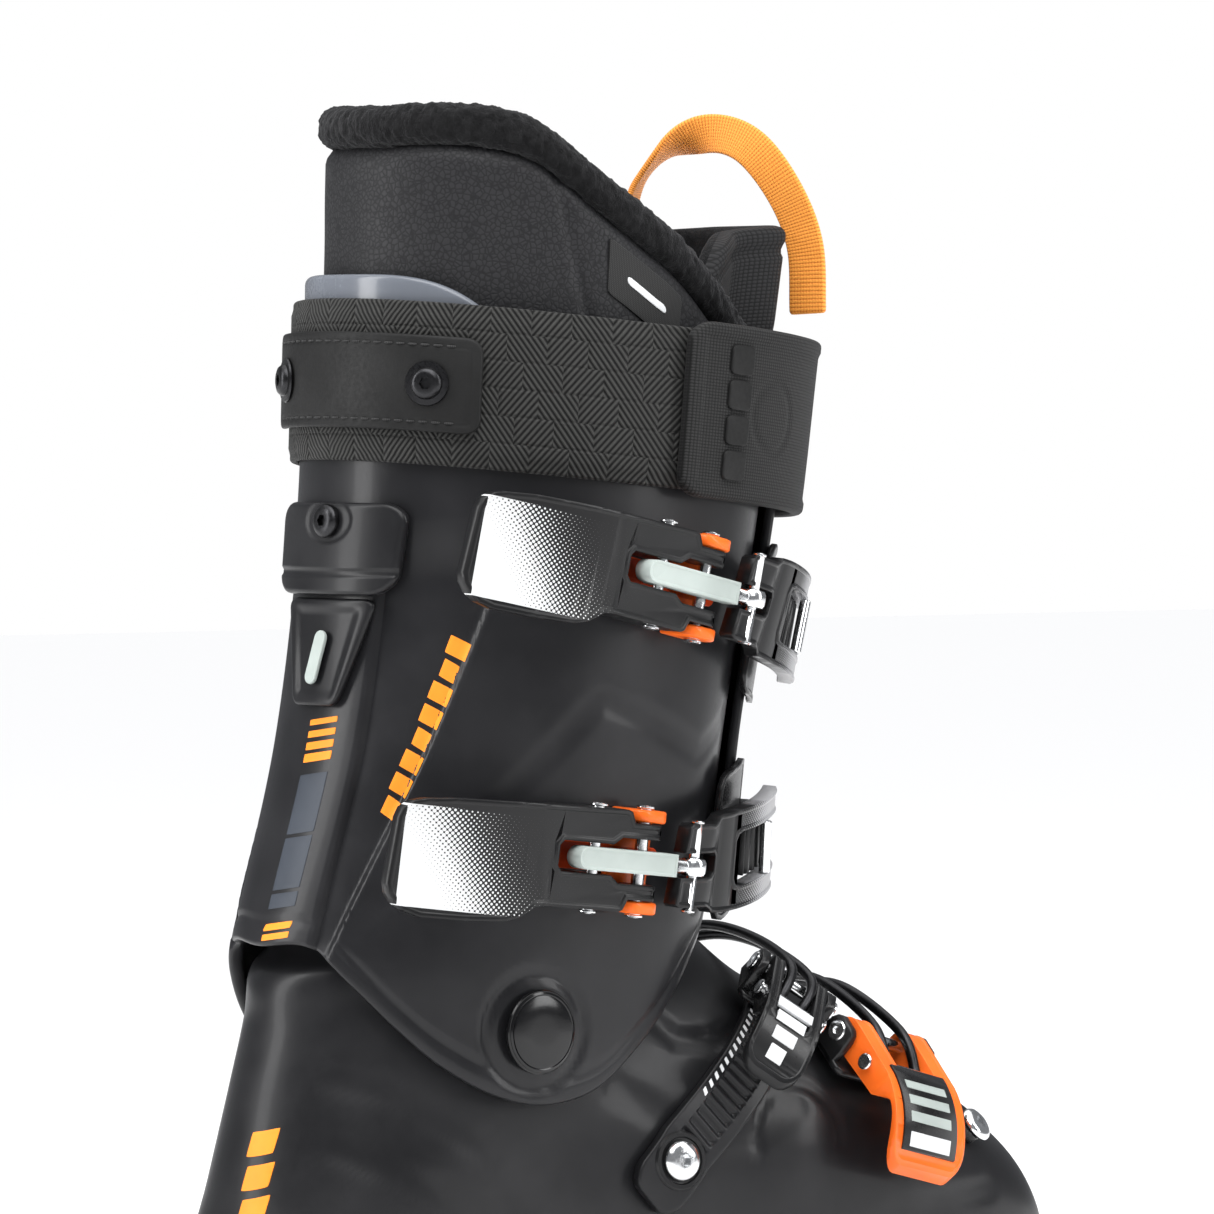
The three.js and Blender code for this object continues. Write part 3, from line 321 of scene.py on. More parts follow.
def tube(name, points, radius, sides=16, material=None):
    """A round tube through points, closed at both ends."""
    verts, uvs, faces = [], [], []
    n = len(points)
    normal = None
    length = 0.0
    for k, p in enumerate(points):
        along = (points[min(k + 1, n - 1)] - points[max(k - 1, 0)]).normalized()
        if normal is None:
            normal = along.orthogonal().normalized()
        normal = (normal - along * normal.dot(along)).normalized()
        side = along.cross(normal)
        if k:
            length += (p - points[k - 1]).length
        for i in range(sides):
            a = 2 * pi * i / sides
            verts.append(p + normal * radius * cos(a) + side * radius * sin(a))
            uvs.append((length, i / sides))
    for k in range(n - 1):
        for i in range(sides):
            a, b = k * sides + i, k * sides + (i + 1) % sides
            faces.append((a, b, b + sides, a + sides))
    faces.append(tuple(range(sides)))
    faces.append(tuple((n - 1) * sides + i for i in range(sides)))
    return make(name, verts, faces, uvs, material=material)


def frame_at(origin, forward, outward):
    """A matrix whose x runs along forward, z along outward and y along outward x forward."""
    z = outward.normalized()
    x = (forward - z * forward.dot(z)).normalized()
    y = z.cross(x)
    return Matrix(((x.x, y.x, z.x, origin.x), (x.y, y.y, z.y, origin.y),
                   (x.z, y.z, z.z, origin.z), (0, 0, 0, 1)))


def turned(name, profile, at, segments=40, hole=None, material=None, smooth_angle=32):
    """A turned piece along z of the matrix at, from (radius, z) rows; hole is (sides, radius,
    depth) of a socket in its upper end."""
    verts, faces = [], []
    rows = list(profile)
    for r, z in rows:
        for i in range(segments):
            a = 2 * pi * i / segments
            verts.append(at @ Vector((r * cos(a), r * sin(a), z)))
    for k in range(len(rows) - 1):
        for i in range(segments):
            j = (i + 1) % segments
            faces.append((k * segments + i, k * segments + j,
                          (k + 1) * segments + j, (k + 1) * segments + i))
    faces.append(tuple(range(segments)))
    last = (len(rows) - 1) * segments
    if hole:
        sides, radius, depth = hole
        top = rows[-1][1]
        base = len(verts)
        for z in (top, top - depth):
            for i in range(segments):
                a = 2 * pi * i / segments
                around = (a + pi / sides) % (2 * pi / sides) - pi / sides
                r = radius * cos(pi / sides) / cos(around)
                verts.append(at @ Vector((r * cos(a), r * sin(a), z)))
        for i in range(segments):
            j = (i + 1) % segments
            faces.append((last + i, last + j, base + j, base + i))
            faces.append((base + i, base + j, base + segments + j, base + segments + i))
        faces.append(tuple(base + segments + i for i in range(segments)))
    else:
        faces.append(tuple(last + i for i in range(segments)))
    return make(name, verts, faces, None, smooth_angle, material)


def rounded(obj, width, segments=2, angle=38):
    """Rounds a piece's edges by width millimetres."""
    bevel = obj.modifiers.new("edges", "BEVEL")
    bevel.width = width * MM
    bevel.segments = segments
    bevel.limit_method = "ANGLE"
    bevel.angle_limit = radians(angle)
    bevel.harden_normals = True
    return obj


def piece(obj, body, slot, *nodes):
    """Makes an object a piece of the boot, in place of the named CAD nodes."""
    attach(obj, body)
    if nodes:
        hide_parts(*nodes)
    return obj


def fine_copy(node, name, body, slot, material, width=0.35):
    """A CAD piece's own shape with its facets joined and its edges rounded."""
    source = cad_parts[node]
    bm = bmesh.new()
    bm.from_mesh(source.data)
    bmesh.ops.remove_doubles(bm, verts=bm.verts, dist=1e-6)
    bmesh.ops.dissolve_limit(bm, angle_limit=radians(1.5), verts=bm.verts, edges=bm.edges)
    mesh = bpy.data.meshes.new(name)
    bm.to_mesh(mesh)
    bm.free()
    for polygon in mesh.polygons:
        polygon.use_smooth = True
    mesh.set_sharp_from_angle(angle=radians(35))
    obj = bpy.data.objects.new(name, mesh)
    bpy.context.scene.collection.objects.link(obj)
    mesh.materials.append(material)
    rounded(obj, width)
    return piece(obj, body, slot, node)


# ---- materials ---------------------------------------------------------------------------
class Paint:
    """A small builder of shader nodes."""

    def __init__(self, name, color, roughness, metallic=0.0, **sockets):
        self.material = bpy.data.materials.new(name)
        self.material.use_nodes = True
        self.tree = self.material.node_tree
        self.shader = self.tree.nodes["Principled BSDF"]
        self.set("Base Color", (*color, 1))
        self.set("Roughness", roughness)
        self.set("Metallic", metallic)
        self.set("Specular IOR Level", 0.5 if metallic else 0.2)
        for socket, value in sockets.items():
            self.set(socket.replace("_", " "), value)
        self.height = None

    def set(self, socket, value):
        self.shader.inputs[socket].default_value = value

    def link(self, a, b):
        self.tree.links.new(a, b)

    def node(self, kind, **inputs):
        node = self.tree.nodes.new(kind)
        for socket, value in inputs.items():
            self.feed(node.inputs[socket.replace("_", " ")], value)
        return node

    def feed(self, socket, value):
        if hasattr(value, "is_output"):
            self.link(value, socket)
        else:
            socket.default_value = value

    def math(self, operation, a, b=0.0, c=0.0):
        node = self.tree.nodes.new("ShaderNodeMath")
        node.operation = operation
        for socket, value in zip(node.inputs, (a, b, c)):
            self.feed(socket, value)
        return node.outputs[0]

    def band(self, value, low, high, to_low=0.0, to_high=1.0):
        node = self.tree.nodes.new("ShaderNodeMapRange")
        node.interpolation_type = "SMOOTHSTEP"
        for socket, x in zip(node.inputs, (value, low, high, to_low, to_high)):
            self.feed(socket, x)
        return node.outputs[0]

    def place(self, stretch=(1, 1, 1)):
        coordinates = self.tree.nodes.new("ShaderNodeTexCoord").outputs["Object"]
        if stretch == (1, 1, 1):
            return coordinates
        node = self.tree.nodes.new("ShaderNodeMapping")
        self.link(coordinates, node.inputs[0])
        node.inputs["Scale"].default_value = stretch
        return node.outputs[0]

    def uv(self):
        """The two surface coordinates, in millimetres."""
        node = self.tree.nodes.new("ShaderNodeUVMap")
        split = self.tree.nodes.new("ShaderNodeSeparateXYZ")
        self.link(node.outputs[0], split.inputs[0])
        return split.outputs[0], split.outputs[1]

    def noise(self, size, detail=3.0, stretch=(1, 1, 1), roughness=0.5):
        """Noise whose grains are about size millimetres across."""
        node = self.node("ShaderNodeTexNoise", Scale=1 / (size * MM), Detail=detail,
                         Roughness=roughness)
        self.link(self.place(stretch), node.inputs["Vector"])
        return node.outputs[0]

    def cells(self, size, feature="F1"):
        node = self.node("ShaderNodeTexVoronoi", Scale=1 / (size * MM))
        node.feature = feature
        self.link(self.place(), node.inputs["Vector"])
        return node.outputs[0]

    def mix(self, factor, a, b):
        node = self.tree.nodes.new("ShaderNodeMix")
        node.data_type = "RGBA"
        self.feed(node.inputs["Factor"], factor)
        for socket, value in ((node.inputs[6], a), (node.inputs[7], b)):
            self.feed(socket, (*value, 1) if isinstance(value, tuple) else value)
        return node.outputs[2]

    def color(self, value):
        self.feed(self.shader.inputs["Base Color"], value)
        return value

    def rough(self, value):
        self.feed(self.shader.inputs["Roughness"], value)

    def relief(self, height, depth, strength=1.0):
        """Adds relief of depth millimetres, over what is there already."""
        node = self.node("ShaderNodeBump", Distance=depth * MM, Strength=strength)
        self.link(height, node.inputs["Height"])
        if self.height:
            self.link(self.height, node.inputs["Normal"])
        self.height = node.outputs[0]
        self.link(self.height, self.shader.inputs["Normal"])
        return self


def moulded(name, color, roughness, grain=0.35, coat=0.0):
    """Satin moulded plastic: a fine spark-eroded grain, slow changes of gloss and tone."""
    paint = Paint(name, color, roughness)
    if coat:
        paint.set("Coat Weight", coat)
        paint.set("Coat Roughness", 0.12)
    cloud = paint.noise(28, 4)
    speck = paint.noise(1.1, 2)
    paint.rough(paint.band(paint.math("ADD", paint.math("MULTIPLY", cloud, 0.7),
                                      paint.math("MULTIPLY", speck, 0.3)),
                           0.3, 0.72, roughness - 0.05, roughness + 0.07))
    light = tuple(min(1, c * 1.25 + 0.003) for c in color)
    paint.color(paint.mix(paint.band(cloud, 0.35, 0.7), color, light))
    paint.relief(paint.noise(grain, 2), 0.012, 0.55)
    paint.relief(paint.noise(9, 2), 0.05, 0.25)
    return paint


def metal(name, color, roughness):
    """Turned or drawn metal, with a fine grain and slow changes of tone."""
    paint = Paint(name, color, roughness, 1.0)
    grain = paint.noise(0.5, 3)
    paint.rough(paint.band(grain, 0.3, 0.7, roughness - 0.06, roughness + 0.08))
    tone = tuple(c * 0.86 for c in color)
    paint.color(paint.mix(paint.band(paint.noise(6, 3), 0.35, 0.65), color, tone))
    paint.relief(grain, 0.006, 0.25)
    return paint


SHELL = moulded("shell_satin", (0.0085, 0.0085, 0.0095), 0.36, coat=0.06).material
CUFF = moulded("cuff_satin", (0.0098, 0.0098, 0.011), 0.33, coat=0.08).material
GLOSS = moulded("cap_gloss", (0.004, 0.004, 0.0045), 0.16, coat=0.25).material
COLLAR = moulded("collar_smooth", (0.115, 0.125, 0.145), 0.24, coat=0.4).material
BUCKLE = moulded("buckle_black", (0.0075, 0.0075, 0.008), 0.3, coat=0.15).material
ORANGE = moulded("orange_satin", (0.78, 0.125, 0.012), 0.36, coat=0.15).material
RED = moulded("orange_deep", (0.62, 0.06, 0.012), 0.4).material
SOLE = moulded("sole_rubber", (0.011, 0.011, 0.011), 0.62, grain=0.6).material
FOAM = moulded("board_foam", (0.06, 0.06, 0.064), 0.85, grain=0.8).material
SILVER = metal("steel_bright", (0.78, 0.79, 0.8), 0.17).material
BARE = moulded("bar_anodised", (0.335, 0.375, 0.355), 0.4).material
DARK_METAL = metal("steel_black", (0.035, 0.035, 0.037), 0.33).material
PRINT = moulded("print_light", (0.62, 0.63, 0.64), 0.5).material
PRINT_ORANGE = moulded("print_orange", (0.8, 0.235, 0.018), 0.45).material
PRINT_GREY = moulded("print_grey", (0.035, 0.041, 0.052), 0.4).material


def leather():
    paint = Paint("liner_leather", (0.017, 0.017, 0.0185), 0.55)
    pebbles = paint.cells(1.5)
    edges = paint.cells(1.5, "DISTANCE_TO_EDGE")
    folds = paint.noise(14, 5)
    # Darker along the cell edges, where the relief sinks: painted shade in the grain's grooves.
    paint.color(paint.mix(paint.band(edges, 0.0, 0.22), (0.0085, 0.0085, 0.0095),
                          (0.0185, 0.0185, 0.02)))
    paint.rough(paint.band(paint.math("ADD", edges, folds), 0.4, 1.1, 0.6, 0.44))
    paint.relief(paint.band(edges, 0.0, 0.3), 0.09, 0.7)
    paint.relief(pebbles, 0.05, 0.4)
    paint.relief(folds, 0.5, 0.35)
    return paint.material


def fleece():
    paint = Paint("plush", (0.0065, 0.0065, 0.007), 0.92, Sheen_Weight=0.16,
                  Sheen_Roughness=0.45)
    paint.set("Sheen Tint", (0.5, 0.5, 0.52, 1))
    tufts = paint.noise(2.6, 6, roughness=0.7)
    pile = paint.noise(0.5, 3, (1, 1, 0.5))
    # Darker where the tufts are low, lighter on their tops: painted shade in the hollows of the
    # pile.
    paint.color(paint.mix(paint.band(tufts, 0.38, 0.66), (0.0015, 0.0015, 0.0018),
                          (0.0075, 0.0075, 0.008)))
    paint.relief(tufts, 0.9, 0.8)
    paint.relief(pile, 0.3, 0.8)
    return paint.material


def threads(name, dark, light, pitch, depth, roughness=0.75, sheen=0.04):
    """A plain basket weave in the surface's own coordinates."""
    paint = Paint(name, light, roughness, Sheen_Weight=sheen)
    s, h = paint.uv()
    warp = paint.math("SINE", paint.math("MULTIPLY", s, pi / pitch))
    weft = paint.math("SINE", paint.math("MULTIPLY", h, pi / pitch))
    checker = paint.math("MULTIPLY", warp, weft)
    high = paint.math("ABSOLUTE", checker)
    # Painted shade: the first colour fills the gaps between the threads, where the relief is low.
    paint.color(paint.mix(paint.band(high, 0.0, 0.7), dark, light))
    paint.relief(high, depth, 0.9)
    paint.relief(paint.noise(0.25, 2), 0.03, 0.5)
    return paint.material


def twill(name, dark, light):
    """A jacquard strap: brick-shaped blocks of twill that slant one way and then the other."""
    paint = Paint(name, dark, 0.72, Sheen_Weight=0.04)
    s, h = paint.uv()
    row = paint.math("FLOOR", paint.math("DIVIDE", h, 7.4))
    shifted = paint.math("ADD", s, paint.math("MULTIPLY", row, 6.1))
    column = paint.math("FLOOR", paint.math("DIVIDE", shifted, 10.5))
    parity = paint.math("MODULO", paint.math("ABSOLUTE", paint.math("ADD", row, column)), 2.0)
    slant = paint.math("SUBTRACT", paint.math("MULTIPLY", parity, 2.0), 1.0)
    run = paint.math("ADD", s, paint.math("MULTIPLY", slant, paint.math("MULTIPLY", h, 0.75)))
    rib = paint.math("PINGPONG", paint.math("MULTIPLY", run, 0.6), 0.5)
    thread = paint.math("PINGPONG", paint.math("MULTIPLY", h, 1.1), 0.5)
    high = paint.math("MULTIPLY", rib, 2.0)
    # The colour follows the ribs' height: painted shade in the grooves and a painted highlight on
    # the rib tops.
    paint.color(paint.mix(paint.band(high, 0.15, 0.85), dark, light))
    paint.rough(paint.band(high, 0.1, 0.9, 0.85, 0.6))
    in_row = paint.math("ABSOLUTE", paint.math("SUBTRACT", paint.math(
        "FRACT", paint.math("DIVIDE", h, 7.4)), 0.5))
    in_column = paint.math("ABSOLUTE", paint.math("SUBTRACT", paint.math(
        "FRACT", paint.math("DIVIDE", shifted, 10.5)), 0.5))
    gap = paint.math("MAXIMUM", in_row, in_column)
    paint.relief(paint.band(gap, 0.4, 0.5, 1.0, 0.0), 0.4, 0.9)
    paint.relief(high, 0.3, 1.0)
    paint.relief(thread, 0.08, 0.5)
    paint.relief(paint.noise(0.3, 2), 0.03, 0.4)
    return paint.material


def webbing():
    paint = Paint("webbing_orange", (0.86, 0.29, 0.035), 0.6, Sheen_Weight=0.25)
    s, h = paint.uv()
    rib = paint.math("ABSOLUTE", paint.math("SINE", paint.math("MULTIPLY", s, pi / 0.85)))
    warp = paint.math("ABSOLUTE", paint.math("SINE", paint.math("MULTIPLY", h, pi / 0.9)))
    high = paint.math("ADD", paint.math("MULTIPLY", rib, 0.7), paint.math("MULTIPLY", warp, 0.3))
    # Darker orange in the hollows between ribs and threads, lighter on their tops: painted shade
    # and a painted highlight.
    paint.color(paint.mix(paint.band(high, 0.1, 0.8), (0.6, 0.15, 0.014), (0.9, 0.34, 0.05)))
    paint.relief(high, 0.16, 0.9)
    return paint.material


def halftone():
    """Black anodised lever whose paddle is printed with dots that grow towards its tail."""
    paint = moulded("lever_halftone", (0.0075, 0.0075, 0.008), 0.34, coat=0.1)
    s, h = paint.uv()
    a = paint.math("DIVIDE", paint.math("ADD", s, h), 1.55)
    b = paint.math("DIVIDE", paint.math("SUBTRACT", s, h), 1.55)
    da = paint.math("SUBTRACT", paint.math("FRACT", a), 0.5)
    db = paint.math("SUBTRACT", paint.math("FRACT", b), 0.5)
    from_dot = paint.math("SQRT", paint.math("ADD", paint.math("MULTIPLY", da, da),
                                             paint.math("MULTIPLY", db, db)))
    along = paint.math("ADD", s, paint.math("MULTIPLY", h, 0.55))
    size = paint.band(along, -88.0, -39.0, 0.8, 0.0)
    white = paint.band(paint.math("SUBTRACT", size, from_dot), -0.04, 0.04)
    inside = paint.math("MULTIPLY", paint.math("LESS_THAN", paint.math("ABSOLUTE", paint.math(
        "ADD", h, 3.9)), 13.7), paint.math("GREATER_THAN", s, -78.4))
    face = paint.math("MULTIPLY", white, inside)
    paint.color(paint.mix(face, (0.0075, 0.0075, 0.008), (0.6, 0.605, 0.61)))
    return paint.material


def crosshatch():
    """Black fork whose front arms are printed with a light hatch that fades in."""
    paint = moulded("fork_hatched", (0.0075, 0.0075, 0.008), 0.34, coat=0.1)
    s, h = paint.uv()
    a = paint.math("PINGPONG", paint.math("DIVIDE", paint.math("ADD", s, h), 1.15), 0.5)
    b = paint.math("PINGPONG", paint.math("DIVIDE", paint.math("SUBTRACT", s, h), 1.15), 0.5)
    lattice = paint.math("MULTIPLY", paint.math("ADD", a, b), 1.0)
    light = paint.band(paint.math("ADD", lattice, paint.band(s, 32.0, 60.0, -0.35, 0.75)),
                       0.52, 0.6)
    face = paint.math("MULTIPLY", light, paint.math("GREATER_THAN", s, 32.5))
    paint.color(paint.mix(face, (0.0075, 0.0075, 0.008), (0.3, 0.3, 0.31)))
    return paint.material


def rubber():
    paint = Paint("plate_rubber", (0.0085, 0.0085, 0.0085), 0.55)
    paint.relief(paint.cells(0.9), 0.05, 0.6)
    paint.relief(paint.noise(7, 3), 0.15, 0.3)
    paint.rough(paint.band(paint.noise(1.2, 3), 0.3, 0.7, 0.5, 0.64))
    paint.color(paint.mix(paint.band(paint.noise(20, 3), 0.35, 0.7), (0.0065, 0.0065, 0.0065),
                          (0.0115, 0.0115, 0.0115)))
    return paint.material


LEATHER = leather()
FLEECE = fleece()
WEAVE = threads("tongue_weave", (0.003, 0.003, 0.0034), (0.016, 0.016, 0.017), 1.1, 0.16)
MESH_CLOTH = threads("strap_end_weave", (0.003, 0.003, 0.003), (0.02, 0.02, 0.02), 0.85, 0.14)
STRAP = twill("strap_twill", (0.0015, 0.0015, 0.0015), (0.036, 0.036, 0.034))
WEBBING = webbing()
LEVER = halftone()
FORK = crosshatch()
RUBBER = rubber()
THREAD = threads("thread_black", (0.01, 0.01, 0.01), (0.035, 0.035, 0.035), 0.5, 0.05)


def even(low, high, step):
    count = max(int((high - low) / step), 1)
    return [low + (high - low) * i / count for i in range(1, count)]


def bar_outline(x0, x1, half, radius, steps=6):
    """A rounded rectangle from x0 to x1, as a closed outline."""
    r = min(radius, half, (x1 - x0) / 2)
    points = []
    for cx, cy, start in ((x1 - r, -half + r, -90), (x1 - r, half - r, 0),
                          (x0 + r, half - r, 90), (x0 + r, -half + r, 180)):
        for i in range(steps + 1):
            a = radians(start + 90 * i / steps)
            point = (cx + r * cos(a), cy + r * sin(a))
            if not points or hypot(point[0] - points[-1][0], point[1] - points[-1][1]) > 1e-4:
                points.append(point)
    if hypot(points[0][0] - points[-1][0], points[0][1] - points[-1][1]) < 1e-4:
        points.pop()
    return points


def near_line(x, z, points, width):
    """1 on a polyline, falling smoothly to 0 at width millimetres from it."""
    best = 1e9
    for (x0, z0), (x1, z1) in zip(points, points[1:]):
        dx, dz = x1 - x0, z1 - z0
        t = clamp(((x - x0) * dx + (z - z0) * dz) / (dx * dx + dz * dz), 0, 1)
        best = min(best, hypot(x - x0 - t * dx, z - z0 - t * dz))
    return 1 - smooth(best, 0.25 * width, width)


def local(at):
    return lambda s, h, z: at @ Vector((s, h, z))


def from_side(at, y0=0.0):
    """Lays an outline drawn in x and z, with its thickness along y."""
    return lambda x, z, y: at @ Vector((x, y0 + y, z))


def pin(name, at, x, z, radius, half, head, material, socket=True):
    """A pin along y of a matrix, with a domed head at each end."""
    objects = []
    for side in (-1, 1):
        turn = at @ Matrix.Translation((x, 0, z)) @ Matrix.Rotation(-side * pi / 2, 4, "X")
        rows = [(radius, 0), (radius, half)]
        if head:
            rows += [(head - 0.25, half + 0.02), (head, half + 0.3), (head, half + 0.65),
                     (head - 0.35, half + 0.95)]
        else:
            rows += [(radius - 0.3, half + 0.3)]
        objects.append(turned(f"{name}_{side}", rows, turn, 32,
                              (6, head * 0.42, 0.6) if head and socket else None, material))
    return fused(name, objects)


# ---- lower shell -------------------------------------------------------------------------
SHELL_STATIONS, SHELL_SIDES = 230, 236
POCKET = [(88, 108), (97, 100), (110, 98.5), (122, 102)]
HEEL_CREASES = [
    [(-24, 78), (-8, 74), (14, 62), (34, 44), (44, 30)],
    [(-18, 96), (4, 90), (28, 74), (48, 54), (60, 34)],
    [(74, 88), (86, 80), (102, 72), (118, 72), (132, 80)],
    [(70, 40), (96, 34), (130, 36), (168, 48), (206, 52)],
]


def shell_relief(v, degrees, p):
    """How far the moulding is cut back from the shell's plain surface."""
    deep = 0.0
    if abs(p.y) > 20 and v < 18:
        for line in HEEL_CREASES:
            deep = max(deep, 0.5 * near_line(p.x, p.z, line, 6))
        deep = max(deep, 1.3 * near_line(p.x, p.z, POCKET, 4.2))
        arch = hypot(p.x - 132, p.z - 72)
        if p.y < 0 and 10 < arch < 18 and p.z > 68:
            deep = max(deep, 0.8 * (1 - smooth(abs(arch - 14), 0.5, 2.4)))
    if 1.6 < v < 11.5:
        over = lerp(30, 16, smooth(v, 2, 10))
        step = smooth(degrees, over, over + 1.6) * (1 - smooth(degrees, 62, 80))
        deep = max(deep, 1.5 * step * smooth(v, 1.6, 2.6) * (1 - smooth(v, 10.5, 11.5)))
        deep = max(deep, 0.5 * (1 - smooth(abs(degrees - over + 5), 0.6, 1.6)))
    return deep


def shell_rings(first, last, count, inset, relief):
    rings = []
    for k in range(count + 1):
        v = lerp(first, last, k / count)
        rings.append([shell_point(v, 2 * pi * i / SHELL_SIDES, inset)
                      for i in range(SHELL_SIDES)])
    if not relief:
        return rings
    moved = []
    for k, ring in enumerate(rings):
        ahead, behind = rings[min(k + 1, count)], rings[max(k - 1, 0)]
        v = lerp(first, last, k / count)
        row = []
        for i, p in enumerate(ring):
            b = ring[(i + 1) % SHELL_SIDES] - ring[i - 1]
            normal = b.cross(ahead[i] - behind[i]).normalized()
            degrees = (360 * i / SHELL_SIDES + 180) % 360 - 180
            row.append(p - normal * relief(v, degrees, p))
        moved.append(row)
    return moved


def build_shell():
    outer = shell_rings(0, 19, SHELL_STATIONS, 0, shell_relief)
    first = outer[0]
    middle = sum(first, Vector()) / len(first)
    nose = []
    for k in range(1, 9):
        t = k / 9
        forward = Vector((5.5 * sin(t * pi / 2), 0, 0))
        nose.append([middle + (p - middle) * cos(t * pi / 2) + forward for p in first])
    outer = list(reversed(nose)) + outer
    inner = shell_rings(1.9, 19, 60, SHELL_WALL, None)
    verts = [p for ring in outer for p in ring] + [p for ring in reversed(inner) for p in ring]
    rings = len(outer) + len(inner)
    n = SHELL_SIDES
    faces = [(k * n + i, k * n + (i + 1) % n, (k + 1) * n + (i + 1) % n, (k + 1) * n + i)
             for k in range(rings - 1) for i in range(n)]
    faces.append(tuple(range(n)))
    faces.append(tuple((rings - 1) * n + i for i in range(n)))
    body = make("body", verts, faces, None, 50, SHELL)
    base = PAD_THICKNESS + 0.35
    flat = local(Matrix())
    toe = outline_solid("toe", sole_outline(TOE_PAD_BACK, TOE_FRONT), TOE_LUG, base, flat,
                        edge=1.0, material=SHELL)
    heel = outline_solid("heel", sole_outline(HEEL_BACK, HEEL_PAD_FRONT), HEEL_LUG, base, flat,
                         edge=1.2, material=SHELL)
    waist = outline_solid("waist", bar_outline(28, 154, 29, 2), 24, base + 1.5, flat,
                          edge=1.0, material=SHELL)
    wall = outline_solid("wall", sole_outline(TOE_PAD_BACK, TOE_FRONT - 12.5, SOLE_HALF, 15), 27,
                         TOE_LUG - 1, flat, edge=1.0, material=SHELL)
    piece(fused("shell_moulding", [body, toe, heel, waist, wall]), "shell", "shell_plastic",
          "lower_shell")


def sole_outline(back, front, half=SOLE_HALF, nose=40):
    """A sole pad's plan: the toe pad has a half ellipse in front, the heel pad one behind."""
    points = []
    for i in range(33):
        a = pi * i / 32 - pi / 2
        if front > 100:
            points.append((front - nose + nose * cos(a), half * sin(a)))
        else:
            points.append((back + 33 - 33 * cos(a), -half * sin(a)))
    end = back if front > 100 else front
    return points + ([(end, half), (end, -half)] if front > 100 else [(end, -half), (end, half)])


# ---- cuff --------------------------------------------------------------------------------
CUFF_START, CUFF_END = -203, 214
cuff_low = curve_through([(0, 128), (20, 128), (34, 118), (46, 107), (58, 96.5), (72, 88),
                          (85, 84.7), (97, 88), (108, 98), (122, 113), (140, 129.5),
                          (156, 140.5), (180, 142.2)])


def cuff_top(angle):
    return 268 - 8 * (1 - cos(angle)) / 2


def fold_angle(degrees):
    return abs((degrees % 360 + 540) % 360 - 180)


def flap_dip(degrees):
    return FLAP_STEP * (1 - smooth(degrees, -150, -112))


SIDE_CREASE = [(-30, 133), (-50, 151), (-83, 195), (-115, 179), (-131, 189)]


def cuff_relief(degrees, z):
    """How far the cuff's moulding is cut back, the same on both sides of the leg."""
    d = abs(degrees)
    deep = 0.0
    if 16 < d < 56 and 120 < z < 250:
        slope = lerp(29, 51, (z - 133) / 82)
        inside = smooth(d, 20, 21.6) * (1 - smooth(d, slope - 2.5, slope))
        deep = 2.2 * inside * smooth(z, 123, 131) * (1 - smooth(z, 226, 246))
    if d > 22:
        deep = max(deep, 0.3 * near_line(-d, z, SIDE_CREASE, 5))
    if d < 150:
        rim = z - cuff_low(min(d, 180))
        deep = max(deep, 0.45 * (1 - smooth(abs(rim - 6.5), 0.5, 1.8)))
    deep = max(deep, 0.4 * (1 - smooth(abs(cuff_top(radians(d)) - 5 - z), 0.4, 1.5)))
    p = cuff_point(radians(degrees), z)
    from_pivot = hypot(p.x - ANKLE.x, z - ANKLE.z)
    if d > 60 and from_pivot < 22:
        deep = max(deep, 0.9 * (1 - smooth(abs(from_pivot - 15.5), 0.6, 2.2)))
    return deep


def build_cuff():
    def z_at(u, v):
        degrees = lerp(CUFF_START, CUFF_END, u)
        return degrees, lerp(cuff_low(fold_angle(degrees)), cuff_top(radians(degrees)), v)

    def place(u, v, off):
        degrees, z = z_at(u, v)
        return cuff_point(radians(degrees), z, off - flap_dip(degrees))

    def relief(u, v):
        degrees, z = z_at(u, v)
        return cuff_relief(degrees, z) if -150 < degrees < 196 else 0.0

    def inner(u, v):
        return -CUFF_WALL * (1 - 0.25 * smooth(lerp(CUFF_START, CUFF_END, u), 190, CUFF_END))

    cuff = skin("cuff_moulding", place, (470, 150), (430, 120), inner, 0.0, 1.4, 7, relief,
                [CUFF])
    piece(cuff, "cuff", "cuff_plastic", "cuff")

    def collar(u, v, off):
        degrees = lerp(-54, 54, u)
        high = lerp(290, 310, 1 - abs(2 * u - 1) ** 4)
        return cuff_point(radians(degrees), lerp(cuff_top(0) + 0.4, high, v), off)

    piece(skin("cuff_collar_band", collar, (118, 40), (90, 30), -3.4, -0.4, 1.3, 6, None,
               [COLLAR]), "cuff", "collar_plastic", "cuff_collar")


def build_pivots():
    for name, side in (("lateral", -1), ("medial", 1)):
        surface = abs(cuff_point(radians(-90), ANKLE.z).y) + 0.35
        at = Matrix.Translation(ANKLE) @ Matrix.Rotation(-side * pi / 2, 4, "X")
        rim = turned("rim", [(7, 35.2), (7, surface), (11.3, surface), (11.5, surface + 0.3),
                             (11.5, surface + 1.2), (11.2, surface + 1.5)], at, 72,
                     material=GLOSS)
        ring = turned("ring", [(10.6, surface + 0.8), (10.9, surface + 1.6),
                               (10.3, surface + 1.9), (9.9, surface + 1.7)], at, 72,
                      material=GLOSS)
        dome = turned("dome", [(9.9, surface + 1.2), (9.9, surface + 1.9),
                               (9.2, surface + 2.1), (4, surface + 2.18)], at, 72,
                      material=GLOSS)
        piece(fused(f"{name}_pivot_cap", [rim, ring, dome]), "shell", "cap_gloss",
              f"{name}_pivot_bolt")


BLADE_ANGLE = radians(-4)


def spine_place(z_low, z_high, half_low, half_high):
    def place(u, v, off):
        half = lerp(half_low, half_high, v)
        return cuff_point(BLADE_ANGLE + (2 * u - 1) * half / 42, lerp(z_low, z_high, v), off)
    return place


def on_spine(z, off, turn=0.0):
    at = frame_at(cuff_point(BLADE_ANGLE, z, off), Vector((0, 0, 1)), cuff_normal(BLADE_ANGLE, z))
    return at @ Matrix.Rotation(turn, 4, "Z")


